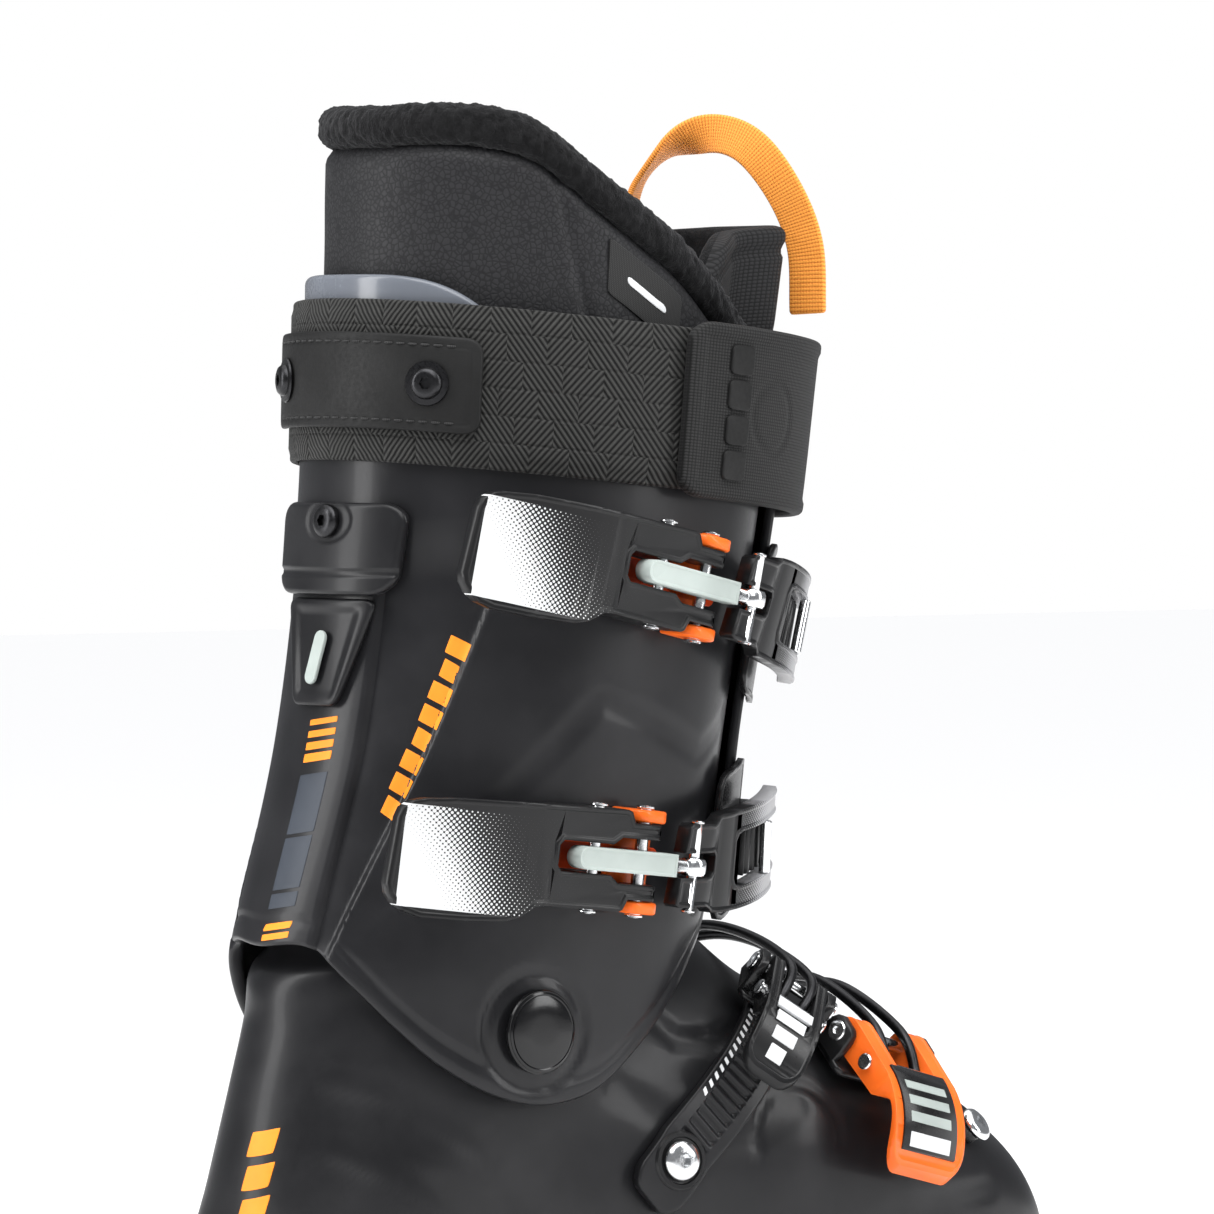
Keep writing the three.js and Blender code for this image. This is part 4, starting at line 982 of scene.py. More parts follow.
def build_blade():
    def dish(u, v):
        return 0.8 * smooth(v, 0.05, 0.16) * (1 - smooth(v, 0.84, 0.95)) * (
            smooth(u, 0.08, 0.2) * (1 - smooth(u, 0.8, 0.92)))

    piece(skin("spine_blade_fine", spine_place(193, 222, 6, 13), (22, 30), (44, 44), 0.35, 2.8,
               1.0, 3, dish, [SHELL]), "cuff", "shell_plastic", "spine_blade")

    def cap_dish(u, v):
        x, z = (2 * u - 1) * 18, lerp(223, 248, v)
        round_screw = 1 - smooth(hypot(x, z - 243), 5.6, 6.4)
        return 0.55 * round_screw + 0.5 * (1 - smooth(abs(z - 229), 0.4, 1.4))

    piece(skin("spine_cap_fine", spine_place(223, 248, 17, 18.5), (36, 26), (70, 52), 0.35, 4.2,
               1.4, 6, cap_dish, [SHELL]), "cuff", "shell_plastic", "spine_cap")
    piece(outline_solid("spine_insert_fine", bar_outline(-7.5, 7.5, 2.2, 2.2), 1.2, 0,
                        local(on_spine(206, 2.9, -radians(12))), edge=0.4,
                        material=BARE), "cuff", "grey_metal", "spine_insert")
    piece(turned("spine_screw_fine", [(4.6, -0.3), (4.6, 0.8), (4.3, 1.4), (3.4, 2.0),
                                      (2.6, 2.2)], on_spine(243, 4.2), 40, (6, 1.7, 1.4),
                 DARK_METAL), "cuff", "black_metal", "spine_screw")


# ---- power strap -------------------------------------------------------------------------
STRAP_OFF = 0.6
END_OFF = STRAP_OFF + STRAP_THICK + 0.5


def strap_middle(angle):
    return 274 - 7.5 * cos(angle + pi)


def round_leg(start, end, half):
    """A band's place round the leg between two angles, in degrees."""
    def place(u, v, off):
        angle = radians(lerp(start, end, u))
        return cuff_point(angle, strap_middle(angle) + (2 * v - 1) * half, off)
    return place


def reach_of(place, steps=60):
    points = [place(i / steps, 0.5, 0) for i in range(steps + 1)]
    return sum((b - a).length for a, b in zip(points, points[1:]))


def build_strap():
    place = round_leg(-150, 168, STRAP_WIDTH / 2)
    length = reach_of(place)

    def hem(u, v):
        edge = min(v, 1 - v) * STRAP_WIDTH
        return 0.5 * (1 - smooth(edge, 2.2, 3.0)) + 0.25 * (1 - smooth(abs(edge - 3), 0.2, 0.8))

    strap = skin("strap_webbing", place, (length, STRAP_WIDTH), (300, 44), STRAP_OFF,
                 STRAP_OFF + STRAP_THICK, 1.0, 3, hem, [STRAP])
    piece(strap, "cuff", "strap_weave", "power_strap")

    end_half = STRAP_WIDTH / 2 + 2
    end_place = round_leg(169.5, 269, end_half)
    end_length = reach_of(end_place)

    def border(u, v):
        edge = min(min(v, 1 - v) * 2 * end_half, min(u, 1 - u) * end_length)
        deep = 0.5 * smooth(edge, 3.4, 4.0)
        x, z = (u * end_length - 0.8 * end_length + 6) / 8.0, (v - 0.5) * 2 * end_half / 9.5
        ring = hypot(x, z)
        deep += 0.35 * (1 - smooth(abs(ring - 1), 0.05, 0.2))
        return deep

    end = skin("strap_end_panel", end_place, (end_length, 2 * end_half), (130, 60), END_OFF,
               END_OFF + 4, 1.5, 6, border, [MESH_CLOTH])
    piece(end, "cuff", "strap_weave", "strap_end")
    blocks = []
    for k in range(4):
        def block(u, v, off, k=k):
            angle = radians(lerp(253, 259.5, u))
            middle = strap_middle(angle) + (k - 1.5) * 9.6
            return cuff_point(angle, middle + (2 * v - 1) * 4.1, off)
        blocks.append(skin(f"block{k}", block, (7, 8.2), (8, 8), END_OFF + 3.2, END_OFF + 4.5,
                           0.5, 1.6, None, [RUBBER]))
    for start, stop in ((171.5, 175.0), (176.5, 178.5)):
        def bar(u, v, off, start=start, stop=stop):
            angle = radians(lerp(start, stop, u))
            return cuff_point(angle, strap_middle(angle) - 8 + (2 * v - 1) * 6, off)
        blocks.append(skin(f"mark{start}", bar, (4, 12), (6, 10), END_OFF + 3.2, END_OFF + 3.75,
                           0.2, 1.2, None, [PRINT_ORANGE]))
    piece(fused("strap_end_blocks", blocks), "cuff", "plate_rubber")

    low = STRAP_OFF + STRAP_THICK + 0.35
    plate_place = round_leg(-46, 28, 13)
    plate_length = reach_of(plate_place)

    def plate_relief(u, v):
        edge = min(min(v, 1 - v) * 26, min(u, 1 - u) * plate_length)
        return 0.25 * (1 - smooth(abs(edge - 2.6), 0.25, 0.7))

    piece(skin("strap_plate_fine", plate_place, (plate_length, 26), (120, 40), low, low + 2,
               0.8, 4, plate_relief, [RUBBER]), "cuff", "plate_rubber", "strap_plate")
    stitches = []
    steps = int(plate_length / 3.2)
    for row in (-1, 1):
        for k in range(2, steps - 1):
            a = radians(lerp(-46, 28, k / steps))
            b = radians(lerp(-46, 28, (k + 0.62) / steps))
            points = [cuff_point(x, strap_middle(x) + row * 10.4, low + 2 + lift)
                      for x, lift in ((a, -0.35), (lerp(a, b, 0.3), 0.12),
                                      (lerp(a, b, 0.7), 0.12), (b, -0.35))]
            stitches.append(tube(f"stitch{row}_{k}", points, 0.32, 8, material=THREAD))
    piece(fused("plate_stitching", stitches), "cuff", "plate_rubber")
    for name, degrees in (("lateral", -33), ("medial", 17)):
        angle = radians(degrees)
        z = strap_middle(angle)
        at = frame_at(cuff_point(angle, z, low + 2.1), Vector((0, 0, 1)), cuff_normal(angle, z))
        piece(turned(f"strap_screw_{name}_fine",
                     [(6, 0), (6.1, 0.35), (5.9, 0.8), (4.4, 0.95), (4.2, 1.7), (3.6, 2.4),
                      (2.8, 2.7)], at, 48, (6, 1.7, 1.5), DARK_METAL),
              "cuff", "black_metal", f"strap_screw_{name}")


# ---- liner, tongue and pull loop ---------------------------------------------------------
LINER_OFF = -CUFF_WALL - FLAP_STEP - 0.6
LINER_EDGE = 141
liner_rim = curve_through([(0, 352), (52, 350), (78, 331), (100, 314), (122, 297), (141, 287)])


def liner_off(degrees):
    return lerp(-CUFF_WALL - 1.2, LINER_OFF, smooth(abs(degrees), 75, 110))


def shaft_floor(x):
    return 154 + max(0, x - ANKLE.x) * 0.2


def build_liner():
    def shaft(u, v, off):
        degrees = lerp(-LINER_EDGE, LINER_EDGE, u)
        base = liner_off(degrees)
        low = shaft_floor(cuff_point(radians(degrees), 160, base).x)
        return cuff_point(radians(degrees), lerp(low, liner_rim(abs(degrees)) - 7, v), base + off)

    def seams(u, v):
        degrees = lerp(-LINER_EDGE, LINER_EDGE, u)
        below = (1 - v) * 190
        deep = 1.1 * (1 - smooth(abs(below - 1), 0.6, 3.4))
        deep += 0.7 * (1 - smooth(abs(abs(degrees) - 62 - below * 0.28), 0.5, 2.2))
        wave = noise.noise(Vector((degrees * 0.05, v * 9, 2.5)))
        return deep + 0.6 + 0.5 * wave

    shaft_piece = skin("liner_shaft_padded", shaft, (300, 190), (230, 110), -LINER_WALL, 0.2,
                       3.2, 6, seams, [LEATHER, FLEECE])
    piece(shaft_piece, "cuff", "liner_leather", "liner_shaft")

    sides, count = 48, 620
    verts, uvs, faces = [], [], []
    for k in range(count + 1):
        t = k / count
        degrees = lerp(-LINER_EDGE, LINER_EDGE, t)
        taper = min(1.0, (1 - abs(2 * t - 1)) * 26) ** 0.5
        for i in range(sides):
            a = 2 * pi * i / sides
            out = power(cos(a), 0.85) * 5.8 * taper
            up = power(sin(a), 0.85) * 5.8 * taper
            z = liner_rim(abs(degrees)) - 1.9 + up
            p = cuff_point(radians(degrees), z, liner_off(degrees) - LINER_WALL / 2 + out)
            q = Vector((p.x * 0.42, p.y * 0.42, p.z * 0.42))
            tuft = 0.55 * noise.noise(q) + 0.4 * noise.noise(q * 2.7)
            grow = 1 + tuft / 5.4
            z = liner_rim(abs(degrees)) - 1.9 + up * grow
            verts.append(cuff_point(radians(degrees), z,
                                    liner_off(degrees) - LINER_WALL / 2 + out * grow))
            uvs.append((t * 300, i))
    for k in range(count):
        for i in range(sides):
            j = (i + 1) % sides
            faces.append((k * sides + i, k * sides + j,
                          (k + 1) * sides + j, (k + 1) * sides + i))
    faces.append(tuple(range(sides)))
    faces.append(tuple(count * sides + i for i in range(sides)))
    collar = make("liner_plush_rim", verts, faces, uvs, 180, FLEECE)
    piece(collar, "cuff", "fleece", "liner_collar")

    label = []

    def tag(u, v, off):
        degrees = lerp(-97, -76, u)
        z = liner_rim(abs(degrees)) - 12.5 - (1 - v) * 15
        return cuff_point(radians(degrees), z, liner_off(degrees) + off)

    def bar(u, v, off):
        degrees = lerp(-92, -81, u)
        z = liner_rim(abs(degrees)) - 19 - (1 - v) * 2.2
        return cuff_point(radians(degrees), z, liner_off(degrees) + off)

    label.append(skin("tag", tag, (24, 15), (24, 16), -1.0, 0.25, 0.3, 1.2, None, [THREAD]))
    label.append(skin("bar", bar, (13, 2.2), (14, 6), -0.5, 0.45, 0.2, 1.1, None, [PRINT]))
    piece(fused("liner_label", label), "cuff", "webbing")


def tongue_off(from_shin, z):
    return lerp(LINER_OFF - 0.6 + 5 * smooth(z, 262, 300), LINER_OFF - LINER_WALL - 1,
                smooth(from_shin, 20, 35))


def build_tongue():
    reach = 56

    def place(u, v, off):
        from_shin = lerp(-reach, reach, u)
        top = 325 - 16 * abs(2 * u - 1) ** 4
        z = lerp(shaft_floor(128) + 2, top, v)
        return cuff_point(radians(180 + from_shin), z, tongue_off(abs(from_shin), z) + off)

    def quilt(u, v):
        below = (1 - v) * 156
        deep = 0.9 * (1 - smooth(abs(below - 7), 0.5, 2.4))
        return deep + 0.4 + 0.35 * noise.noise(Vector((u * 9, v * 11, 7.5)))

    tongue = skin("tongue_padded", place, (118, 156), (110, 130), -8, 0.2, 3.4, 16, quilt,
                  [WEAVE, FLEECE])
    piece(tongue, "cuff", "tongue_fabric", "tongue")


LOOP_ROUTE = [Vector(p) for p in (
    (132, 27, 327), (134, 24, 338), (138, 15, 347), (144, 4, 351), (150, -6, 347),
    (157, -13, 334), (161.8, -16, 319), (162, -17, 300))]


def along_route(route, t):
    """A smooth curve through the route's points, and its direction."""
    x = t * (len(route) - 1)
    i = min(int(x), len(route) - 2)
    f = x - i
    p1, p2 = route[i], route[i + 1]
    p0 = route[i - 1] if i else p1 * 2 - p2
    p3 = route[i + 2] if i + 2 < len(route) else p2 * 2 - p1
    point = 0.5 * (2 * p1 + (p2 - p0) * f + (2 * p0 - 5 * p1 + 4 * p2 - p3) * f * f
                   + (3 * p1 - p0 - 3 * p2 + p3) * f ** 3)
    slope = 0.5 * ((p2 - p0) + 2 * (2 * p0 - 5 * p1 + 4 * p2 - p3) * f
                   + 3 * (3 * p1 - p0 - 3 * p2 + p3) * f * f)
    return point, slope.normalized()


def build_loop():
    def place(u, v, off):
        centre, along = along_route(LOOP_ROUTE, u)
        turn = radians(lerp(-38, 62, smooth(u, 0.1, 0.75)))
        face = Vector((sin(turn), cos(turn), 0))
        across = along.cross(face).normalized()
        normal = across.cross(along).normalized()
        return centre + across * ((v - 0.5) * 11) - normal * off

    length = sum((along_route(LOOP_ROUTE, (i + 1) / 60)[0]
                  - along_route(LOOP_ROUTE, i / 60)[0]).length for i in range(60))
    loop = skin("loop_webbing", place, (length, 11), (120, 12), -0.9, 0.9, 0.7, 1, None,
                [WEBBING])
    piece(loop, "cuff", "webbing", "pull_loop")


# ---- cuff buckles ------------------------------------------------------------------------
HINGE_UP, BAIL_BACK, BAIL_UP, EYE, ROD_UP = 8, -19, 10.6, 15, 13
ARM_HALF, NOSE_HALF, SLOT_HALF, LEVER_TAIL, BAR_HALF, EAR = 13.9, 10.4, 4.2, -81, 3.1, 3.4
FORK_REACH = 60
BUCKLES = [("upper", -99, 225, 12, 0), ("lower", -94.5, 151, 6, 11)]


def angle_after(start, z, s):
    step = s / 24
    angle = start
    for _ in range(24):
        rate = (cuff_point(angle - 0.01, z) - cuff_point(angle + 0.01, z)).length / 0.02
        angle -= step / rate
    return angle


def beside_buckle(buckle):
    """A place beside a cuff buckle: s forward of its hinge round the cuff, h up, off out."""
    _, start, at_z, tilt_degrees, rise = buckle
    tilt = radians(tilt_degrees)

    def place(s, h, off):
        ahead = max(s, 0) / FORK_REACH
        turn = tilt - atan(2 * rise * ahead / FORK_REACH)
        z = at_z + h * cos(turn) - s * sin(tilt) + rise * ahead * ahead
        angle = angle_after(radians(start), at_z, s * cos(tilt) + h * sin(turn))
        return cuff_point(angle, z) + cuff_normal(angle, z) * off

    return place


def buckle_frame(buckle):
    _, start, z, tilt, _ = buckle
    angle = radians(start)
    normal = cuff_normal(angle, z)
    level = Vector((-normal.y, normal.x, 0)).normalized()
    forward = level * cos(radians(tilt)) + Vector((0, 0, -sin(radians(tilt))))
    return frame_at(cuff_point(angle, z), forward, normal)


def arc_height(start, control, end):
    """The height along x of a quadratic curve whose x only rises or only falls."""
    rows = []
    for i in range(49):
        t = i / 48
        rows.append(tuple((1 - t) ** 2 * a + 2 * t * (1 - t) * b + t * t * c
                          for a, b, c in zip(start, control, end)))
    rows.sort()

    def height(x):
        x = clamp(x, rows[0][0], rows[-1][0])
        for (x0, z0), (x1, z1) in zip(rows, rows[1:]):
            if x <= x1:
                return lerp(z0, z1, (x - x0) / max(x1 - x0, 1e-6))
        return rows[-1][1]

    return height


def build_lever(name, at):
    arm, nose, slot, tail = ARM_HALF, NOSE_HALF, SLOT_HALF, LEVER_TAIL
    plan = [(4.9, nose), (-7, nose), (-8.6, arm - 0.5), (-10, arm), (-46, arm - 0.6),
            (-66, arm - 1.4), (tail + 7, arm - 2.4), (tail + 4, arm - 3.3),
            (tail + 1.8, arm - 5.4), (tail + 1, arm - 8), (tail, -12), (tail + 0.6, -14.6),
            (tail + 2.2, -17), (tail + 5, -19), (tail + 9, -20), (-60, -19.8), (-48, -18.9),
            (-44, -17.6), (-39, -arm - 0.4), (-36, -arm), (-9.6, -arm), (-8.4, -arm + 0.6),
            (-7, -nose), (4.9, -nose), (4.9, -slot - 2), (-11, -slot - 2), (-14, -slot),
            (-31.6, -slot), (-33, -slot + 1.4), (-33, slot - 1.4), (-31.6, slot), (-14, slot),
            (-11, slot + 2), (4.9, slot + 2)]
    upper = arc_height((-36, 13), (-60, 12), (tail - 1, 0))
    lower = arc_height((tail - 1, -3), (-60, 8.6), (-40, 9.6))

    def top(s, h):
        if s > 0:
            return HINGE_UP + max(25 - s * s, 0) ** 0.5
        return 13 if s > -36 else upper(s)

    def bottom(s, h):
        if s > 0:
            return HINGE_UP - max(25 - s * s, 0) ** 0.5
        if s > -31:
            return lerp(3.0, 3.4, -s / 31)
        return lerp(3.4, 9.6, (-31 - s) / 9) if s > -40 else lower(s)

    cuts = even(tail, -30, 2.2) + [-40.01, -31.01, 0.01, 1.6, 2.8, 3.7, 4.4]
    lever = outline_solid("lever", plan, top, bottom, local(at), cuts, (1.1, 0.45), 0.5,
                          LEVER)
    piece(fused(f"{name}_lever_paddle", [lever]), f"{name}_lever", "buckle_black",
          f"{name}_lever")


def build_base(name, at):
    outer = NOSE_HALF + 0.35 + EAR
    strip = outline_solid("strip", bar_outline(-36, 11, SLOT_HALF - 0.4, 2), 2.6, 0.6, local(at),
                          edge=0.4, material=RED)
    cross = outline_solid("cross", bar_outline(-7, 8, outer, 3), 2.6, 0.6, local(at), edge=0.4,
                          material=ORANGE)
    ear = [(-6, 0.6), (7, 0.6), (6.6, 6), (6, 9.6), (4.6, 11.6), (2.6, 12.4), (-1.6, 12.4),
           (-3.8, 11.6), (-5, 9.8), (-5.6, 5)]
    ears = [outline_solid(f"ear{y}", ear, EAR, 0, from_side(at, y), edge=0.6, material=ORANGE)
            for y in (outer - EAR, -outer)]
    piece(fused(f"{name}_base_ears", [strip, cross] + ears), "cuff", "orange", f"{name}_base")


def build_bail(name, at):
    body = f"{name}_bail"
    plan = [(7, -BAR_HALF), (7, BAR_HALF), (-25, BAR_HALF)]
    plan += [(-25 - BAR_HALF * sin(radians(a)), BAR_HALF * cos(radians(a)))
             for a in range(15, 180, 15)] + [(-25, -BAR_HALF)]
    bar = outline_solid("bar", plan, 16, 10.2, local(at), even(-25, 7, 4), (0.7, 0.2), 0.55,
                        BARE)
    block = outline_solid("block", bar_outline(BAIL_BACK - 4, BAIL_BACK + 4, BAR_HALF, 1), 10.4,
                          8, local(at), edge=0.4, material=BARE)
    collar = turned("collar", [(2.2, 6.6), (2.9, 6.9), (2.9, 7.3), (2.35, 7.5)],
                    at @ Matrix.Translation((0, 0, ROD_UP)) @ Matrix.Rotation(pi / 2, 4, "Y"),
                    40, material=DARK_METAL)
    piece(fused(f"{name}_bail_bar", [bar, block, collar]), body, "grey_metal", body)


def build_rod(name, at):
    turn = at @ Matrix.Translation((0, 0, ROD_UP)) @ Matrix.Rotation(pi / 2, 4, "Y")
    rows = [(1.6, -14)]
    for k in range(70):
        z = -13.8 + k * 0.38
        if z > 11.4:
            break
        rows += [(2.0, z), (1.72, z + 0.19)]
    rows += [(1.9, 11.6), (1.9, 12.6)]
    shank = turned("shank", rows, turn, 36, material=SILVER)
    eye_at = at @ Matrix.Translation((EYE, 0, ROD_UP)) @ Matrix.Rotation(-pi / 2, 4, "X")
    eye = turned("eye", [(2.2, -2.5), (3.1, -2.3), (3.6, -1.5), (3.7, 0), (3.6, 1.5), (3.1, 2.3),
                         (2.2, 2.5)], eye_at, 48, material=SILVER)
    piece(fused(f"{name}_rod_eye", [shank, eye]), f"{name}_rod", "silver", f"{name}_rod")


def build_fork(name, at, place):
    plan = [(9, 3.4), (9, 10.6), (10, 11.5), (19, 11.5), (21.4, 12.2), (23.6, 13.6), (32, 14),
            (61.6, 14), (63.2, 13.5), (64, 12), (64, 9.2), (63.2, 7.9), (62, 7.6), (35, 7.6),
            (33, 7), (32, 5.2), (32, -5.2), (33, -7), (35, -7.6), (62, -7.6), (63.2, -7.9),
            (64, -9.2), (64, -12), (63.2, -13.5), (61.6, -14), (32, -14), (23.6, -13.6),
            (21.4, -12.2), (19, -11.5), (10, -11.5), (9, -10.6), (9, -3.4), (20.6, -3.4),
            (22, -2.2), (22, 2.2), (20.6, 3.4)]

    def top(s, h):
        ridge = 0.5 * (1 - smooth(abs(s - 27), 1.5, 4))
        return lerp(15.2, 13.0, smooth(s, 18, 25)) + ridge - 1.2 * smooth(s, 58, 64)

    def bottom(s, h):
        return lerp(10.2, 8.4, smooth(s, 18, 27))

    fork = outline_solid("fork", plan, top, bottom, place, even(9, 64, 2.2), (1.0, 0.35), 0.5,
                         FORK)
    cross = pin("cross", at, EYE, ROD_UP, 1.5, 11.7, 1.9, SILVER, False)
    piece(fused(f"{name}_fork_arms", [fork, cross]), f"{name}_fork", "buckle_black",
          f"{name}_fork")
    ends = [place(50, h, 12.6) for h in (-7.4, 7.4)]
    middle = (ends[0] + ends[1]) / 2
    out = (place(50, 0, 14) - place(50, 0, 12)).normalized()
    turn = frame_at(middle, ends[1] - ends[0], out) @ Matrix.Rotation(pi / 2, 4, "Y")
    half = (ends[1] - ends[0]).length / 2
    piece(turned(f"{name}_hook_pin_fine", [(1.3, -half), (1.6, 0.3 - half), (1.6, half - 0.3),
                                           (1.3, half)], turn, 36, material=SILVER),
          f"{name}_fork", "silver", f"{name}_hook_pin")


def build_ladder(name, place):
    plan = [(41, -17), (43, -20), (46, -21), (62, -21), (66, -19.6), (68, -16), (68, 16),
            (66, 19.6), (62, 21), (46, 21), (43, 20), (41, 17), (40, 12), (40, -12)]
    plate = outline_solid("plate", plan, 2.4, 0.7, place, even(40, 68, 3), (1.4, 0.3), 0.4,
                          BUCKLE, across=even(-21, 21, 5))
    step = 29 / 16

    def ridge(s, h):
        if s > 65.5:
            return lerp(10.0, 7.6, (s - 65.5) / 4.5)
        t = ((s - 41) / (2 * step)) % 1
        return 8.5 + 1.7 * smooth(abs(2 * t - 1), 0.15, 0.75)

    block = outline_solid("block", bar_outline(41, 70, 6.6, 0.8, 3), ridge, 1.5, place,
                          even(41, 66, step / 3) + [65.6, 67.5], None, 0.3, BUCKLE,
                          smooth_angle=24)
    piece(fused(f"{name}_ladder_block", [plate, block]), "cuff", "buckle_black",
          f"{name}_ladder")


def build_buckles():
    for buckle in BUCKLES:
        name = buckle[0]
        at, place = buckle_frame(buckle), beside_buckle(buckle)
        build_lever(name, at)
        build_base(name, at)
        piece(pin(f"{name}_hinge_rivet", at, 0, HINGE_UP, 1.8, NOSE_HALF + EAR + 0.6, 2.5,
                  SILVER), "cuff", "silver", f"{name}_hinge_pin")
        piece(pin(f"{name}_bail_rivet", at, BAIL_BACK, BAIL_UP, 1.6, ARM_HALF + 0.2, 2.4,
                  SILVER), f"{name}_lever", "silver", f"{name}_bail_pin")
        build_bail(name, at)
        build_rod(name, at)
        build_fork(name, at, place)
        build_ladder(name, place)


# ---- buckles of the lower shell ----------------------------------------------------------
BAIL_LIFT = 10.8


def shell_route(start, stop):
    def at(u):
        v, angle = lerp(start[0], stop[0], u), radians(lerp(start[1], stop[1], u))
        return shell_point(v, angle), shell_normal(v, angle)
    return at


def ribbon_place(route, half, first=0.0, last=1.0):
    e = 0.01

    def place(u, v, off):
        t = lerp(first, last, u)
        point, normal = route(t)
        along = (route(t + e)[0] - route(t - e)[0]).normalized()
        across = normal.cross(along).normalized()
        return point + across * ((2 * v - 1) * half(t)) + normal * off

    return place


def frame_on_route(route, u, off):
    e = 0.01
    point, normal = route(u)
    return frame_at(point + normal * off, route(u + e)[0] - route(u - e)[0], normal)


INSTEP_ROUTE = shell_route((8.88, -93), (7.5, -23))
TOE_ROUTE = shell_route((5.52, -98), (6.3, -20))


def lever_heights(length, hinge, thick, bend):
    upper = arc_height((-0.4 * length, hinge + 4.6), (-0.75 * length, hinge + 4),
                       (-length, hinge + 4.6 - bend))
    lower = arc_height((-length, hinge + 4.6 - bend - thick),
                       (-0.75 * length, hinge + 4 - thick),
                       (-0.62 * length, hinge + 4.2 - thick))

    def top(s, h):
        if s > 0:
            return hinge + max(21.2 - s * s, 0) ** 0.5
        return hinge + 4.6 if s > -0.4 * length else upper(s)

    def bottom(s, h):
        if s > 0:
            return hinge - max(21.2 - s * s, 0) ** 0.5
        if s > -0.5 * length:
            return lerp(hinge - 4.6, hinge - 3.4, -s / (0.5 * length))
        if s > -0.62 * length:
            return lerp(hinge - 3.4, hinge + 4.2 - thick, (-s / length - 0.5) / 0.12)
        return lower(s)

    return top, bottom


def forked_outline(length, half, slot):
    """A lever's plan: rounded at its tail, forked at its hinge."""
    tail = [(x, y) for x, y in bar_outline(-length, 20, half, 5) if x < 0]
    tail.sort(key=lambda p: (p[1] < 0, p[0] if p[1] < 0 else -p[0]))
    back = -0.62 * length
    return ([(4.55, half)] + tail + [(4.55, -half), (4.55, -slot), (back + 1.4, -slot),
            (back, -slot + 1.4), (back, slot - 1.4), (back + 1.4, slot), (4.55, slot)])


def build_shell_lever(name, at, size, material, faces):
    length, half, slot = size["length"], size["half"], size["slot"]
    top, bottom = lever_heights(length, 8, size["thick"], size["bend"])
    cuts = even(-length, -0.4 * length, 1.6) + [-0.5 * length, 0.01, 1.5, 2.8, 3.8]
    lever = outline_solid("lever", forked_outline(length, half, slot), top, bottom, local(at),
                          cuts, (1.0, 0.35), 0.5, material)
    extra = []
    for k, (x0, x1, y0, y1, rise, paint) in enumerate(faces):
        extra.append(outline_solid(f"face{k}", [(x0, y0), (x1, y0), (x1, y1), (x0, y1)],
                                   lambda s, h, r=rise: top(s, h) + r,
                                   lambda s, h: top(s, h) - 0.9, local(at), even(x0, x1, 1.6),
                                   None, 0.12, paint))
    piece(fused(f"{name}_lever_paddle", [lever] + extra), f"{name}_lever",
          "buckle_black" if name == "instep" else "orange", f"{name}_lever")


def build_shell_base(name, at, half, back, front, material):
    plate = outline_solid("plate", bar_outline(back, front, half + 3.4, 3), 2, 0, local(at),
                          edge=0.5, material=material)
    ear = [(-6, 0), (6, 0), (5.6, 5), (5, 8.5), (4, 10.6), (2.5, 11.5), (-2.5, 11.5), (-4, 10.6),
           (-5, 8.5), (-5.6, 5)]
    ears = [outline_solid(f"ear{y}", ear, 3, 0, from_side(at, y), edge=0.5, material=material)
            for y in (half + 0.4, -half - 3.4)]
    piece(fused(f"{name}_base_ears", [plate] + ears), "shell", "buckle_black", f"{name}_base")


def smooth_path(points, steps):
    return [along_route(points, i / steps)[0] for i in range(steps + 1)]


def build_shell_bail(name, at, half, slot, far):
    x, z = -12, 9
    to_local = at.inverted()
    across = slot - 2.2
    far_points = [to_local @ (shell_point(v, radians(d)) + shell_normal(v, radians(d))
                              * BAIL_LIFT) for v, d in far]

    def leg(side):
        start = [Vector((x, side * (across - 1.5), z)), Vector((x + 1.5, side * across, z + 0.2)),
                 Vector((2, side * across, z + 2.8))]
        return start + [Vector((p.x, p.y + side * (across - 1), p.z)) for p in far_points]

    last = far_points[-1]
    route = leg(-1) + [Vector((last.x + 2.4, last.y, last.z - 0.4))] + list(reversed(leg(1)))
    points = [at @ p for p in smooth_path(route, 130)]
    wire = tube("wire", points, 1.5, 16, material=DARK_METAL)
    cross = pin("cross", at, x, z, 1.5, half + 1.2, 2.3, SILVER, False)
    piece(fused(f"{name}_bail_wire", [wire, cross]), f"{name}_bail", "black_metal",
          f"{name}_bail")


def build_hook(name, v, degrees, half):
    route = shell_route((v, degrees - 14), (v, degrees + 14))
    at = frame_on_route(route, 0.5, 0.35)
    side = [(-12, 0), (14, 0), (12, 3), (2, 3.2), (0, 4.4), (-4.5, 5.2), (-10, 4.6), (-12, 3)]
    piece(outline_solid(f"{name}_hook", side, half, -half, from_side(at), edge=0.6,
                        material=BUCKLE), "shell", "buckle_black", name)


def boss_screw(name, node, at, rows):
    """A silver hexagon-socket screw of the lower shell, turned from rows."""
    screw = turned(name, rows, at, 48, (6, 1.9, 1.5), SILVER)
    piece(screw, "shell", "silver", node)


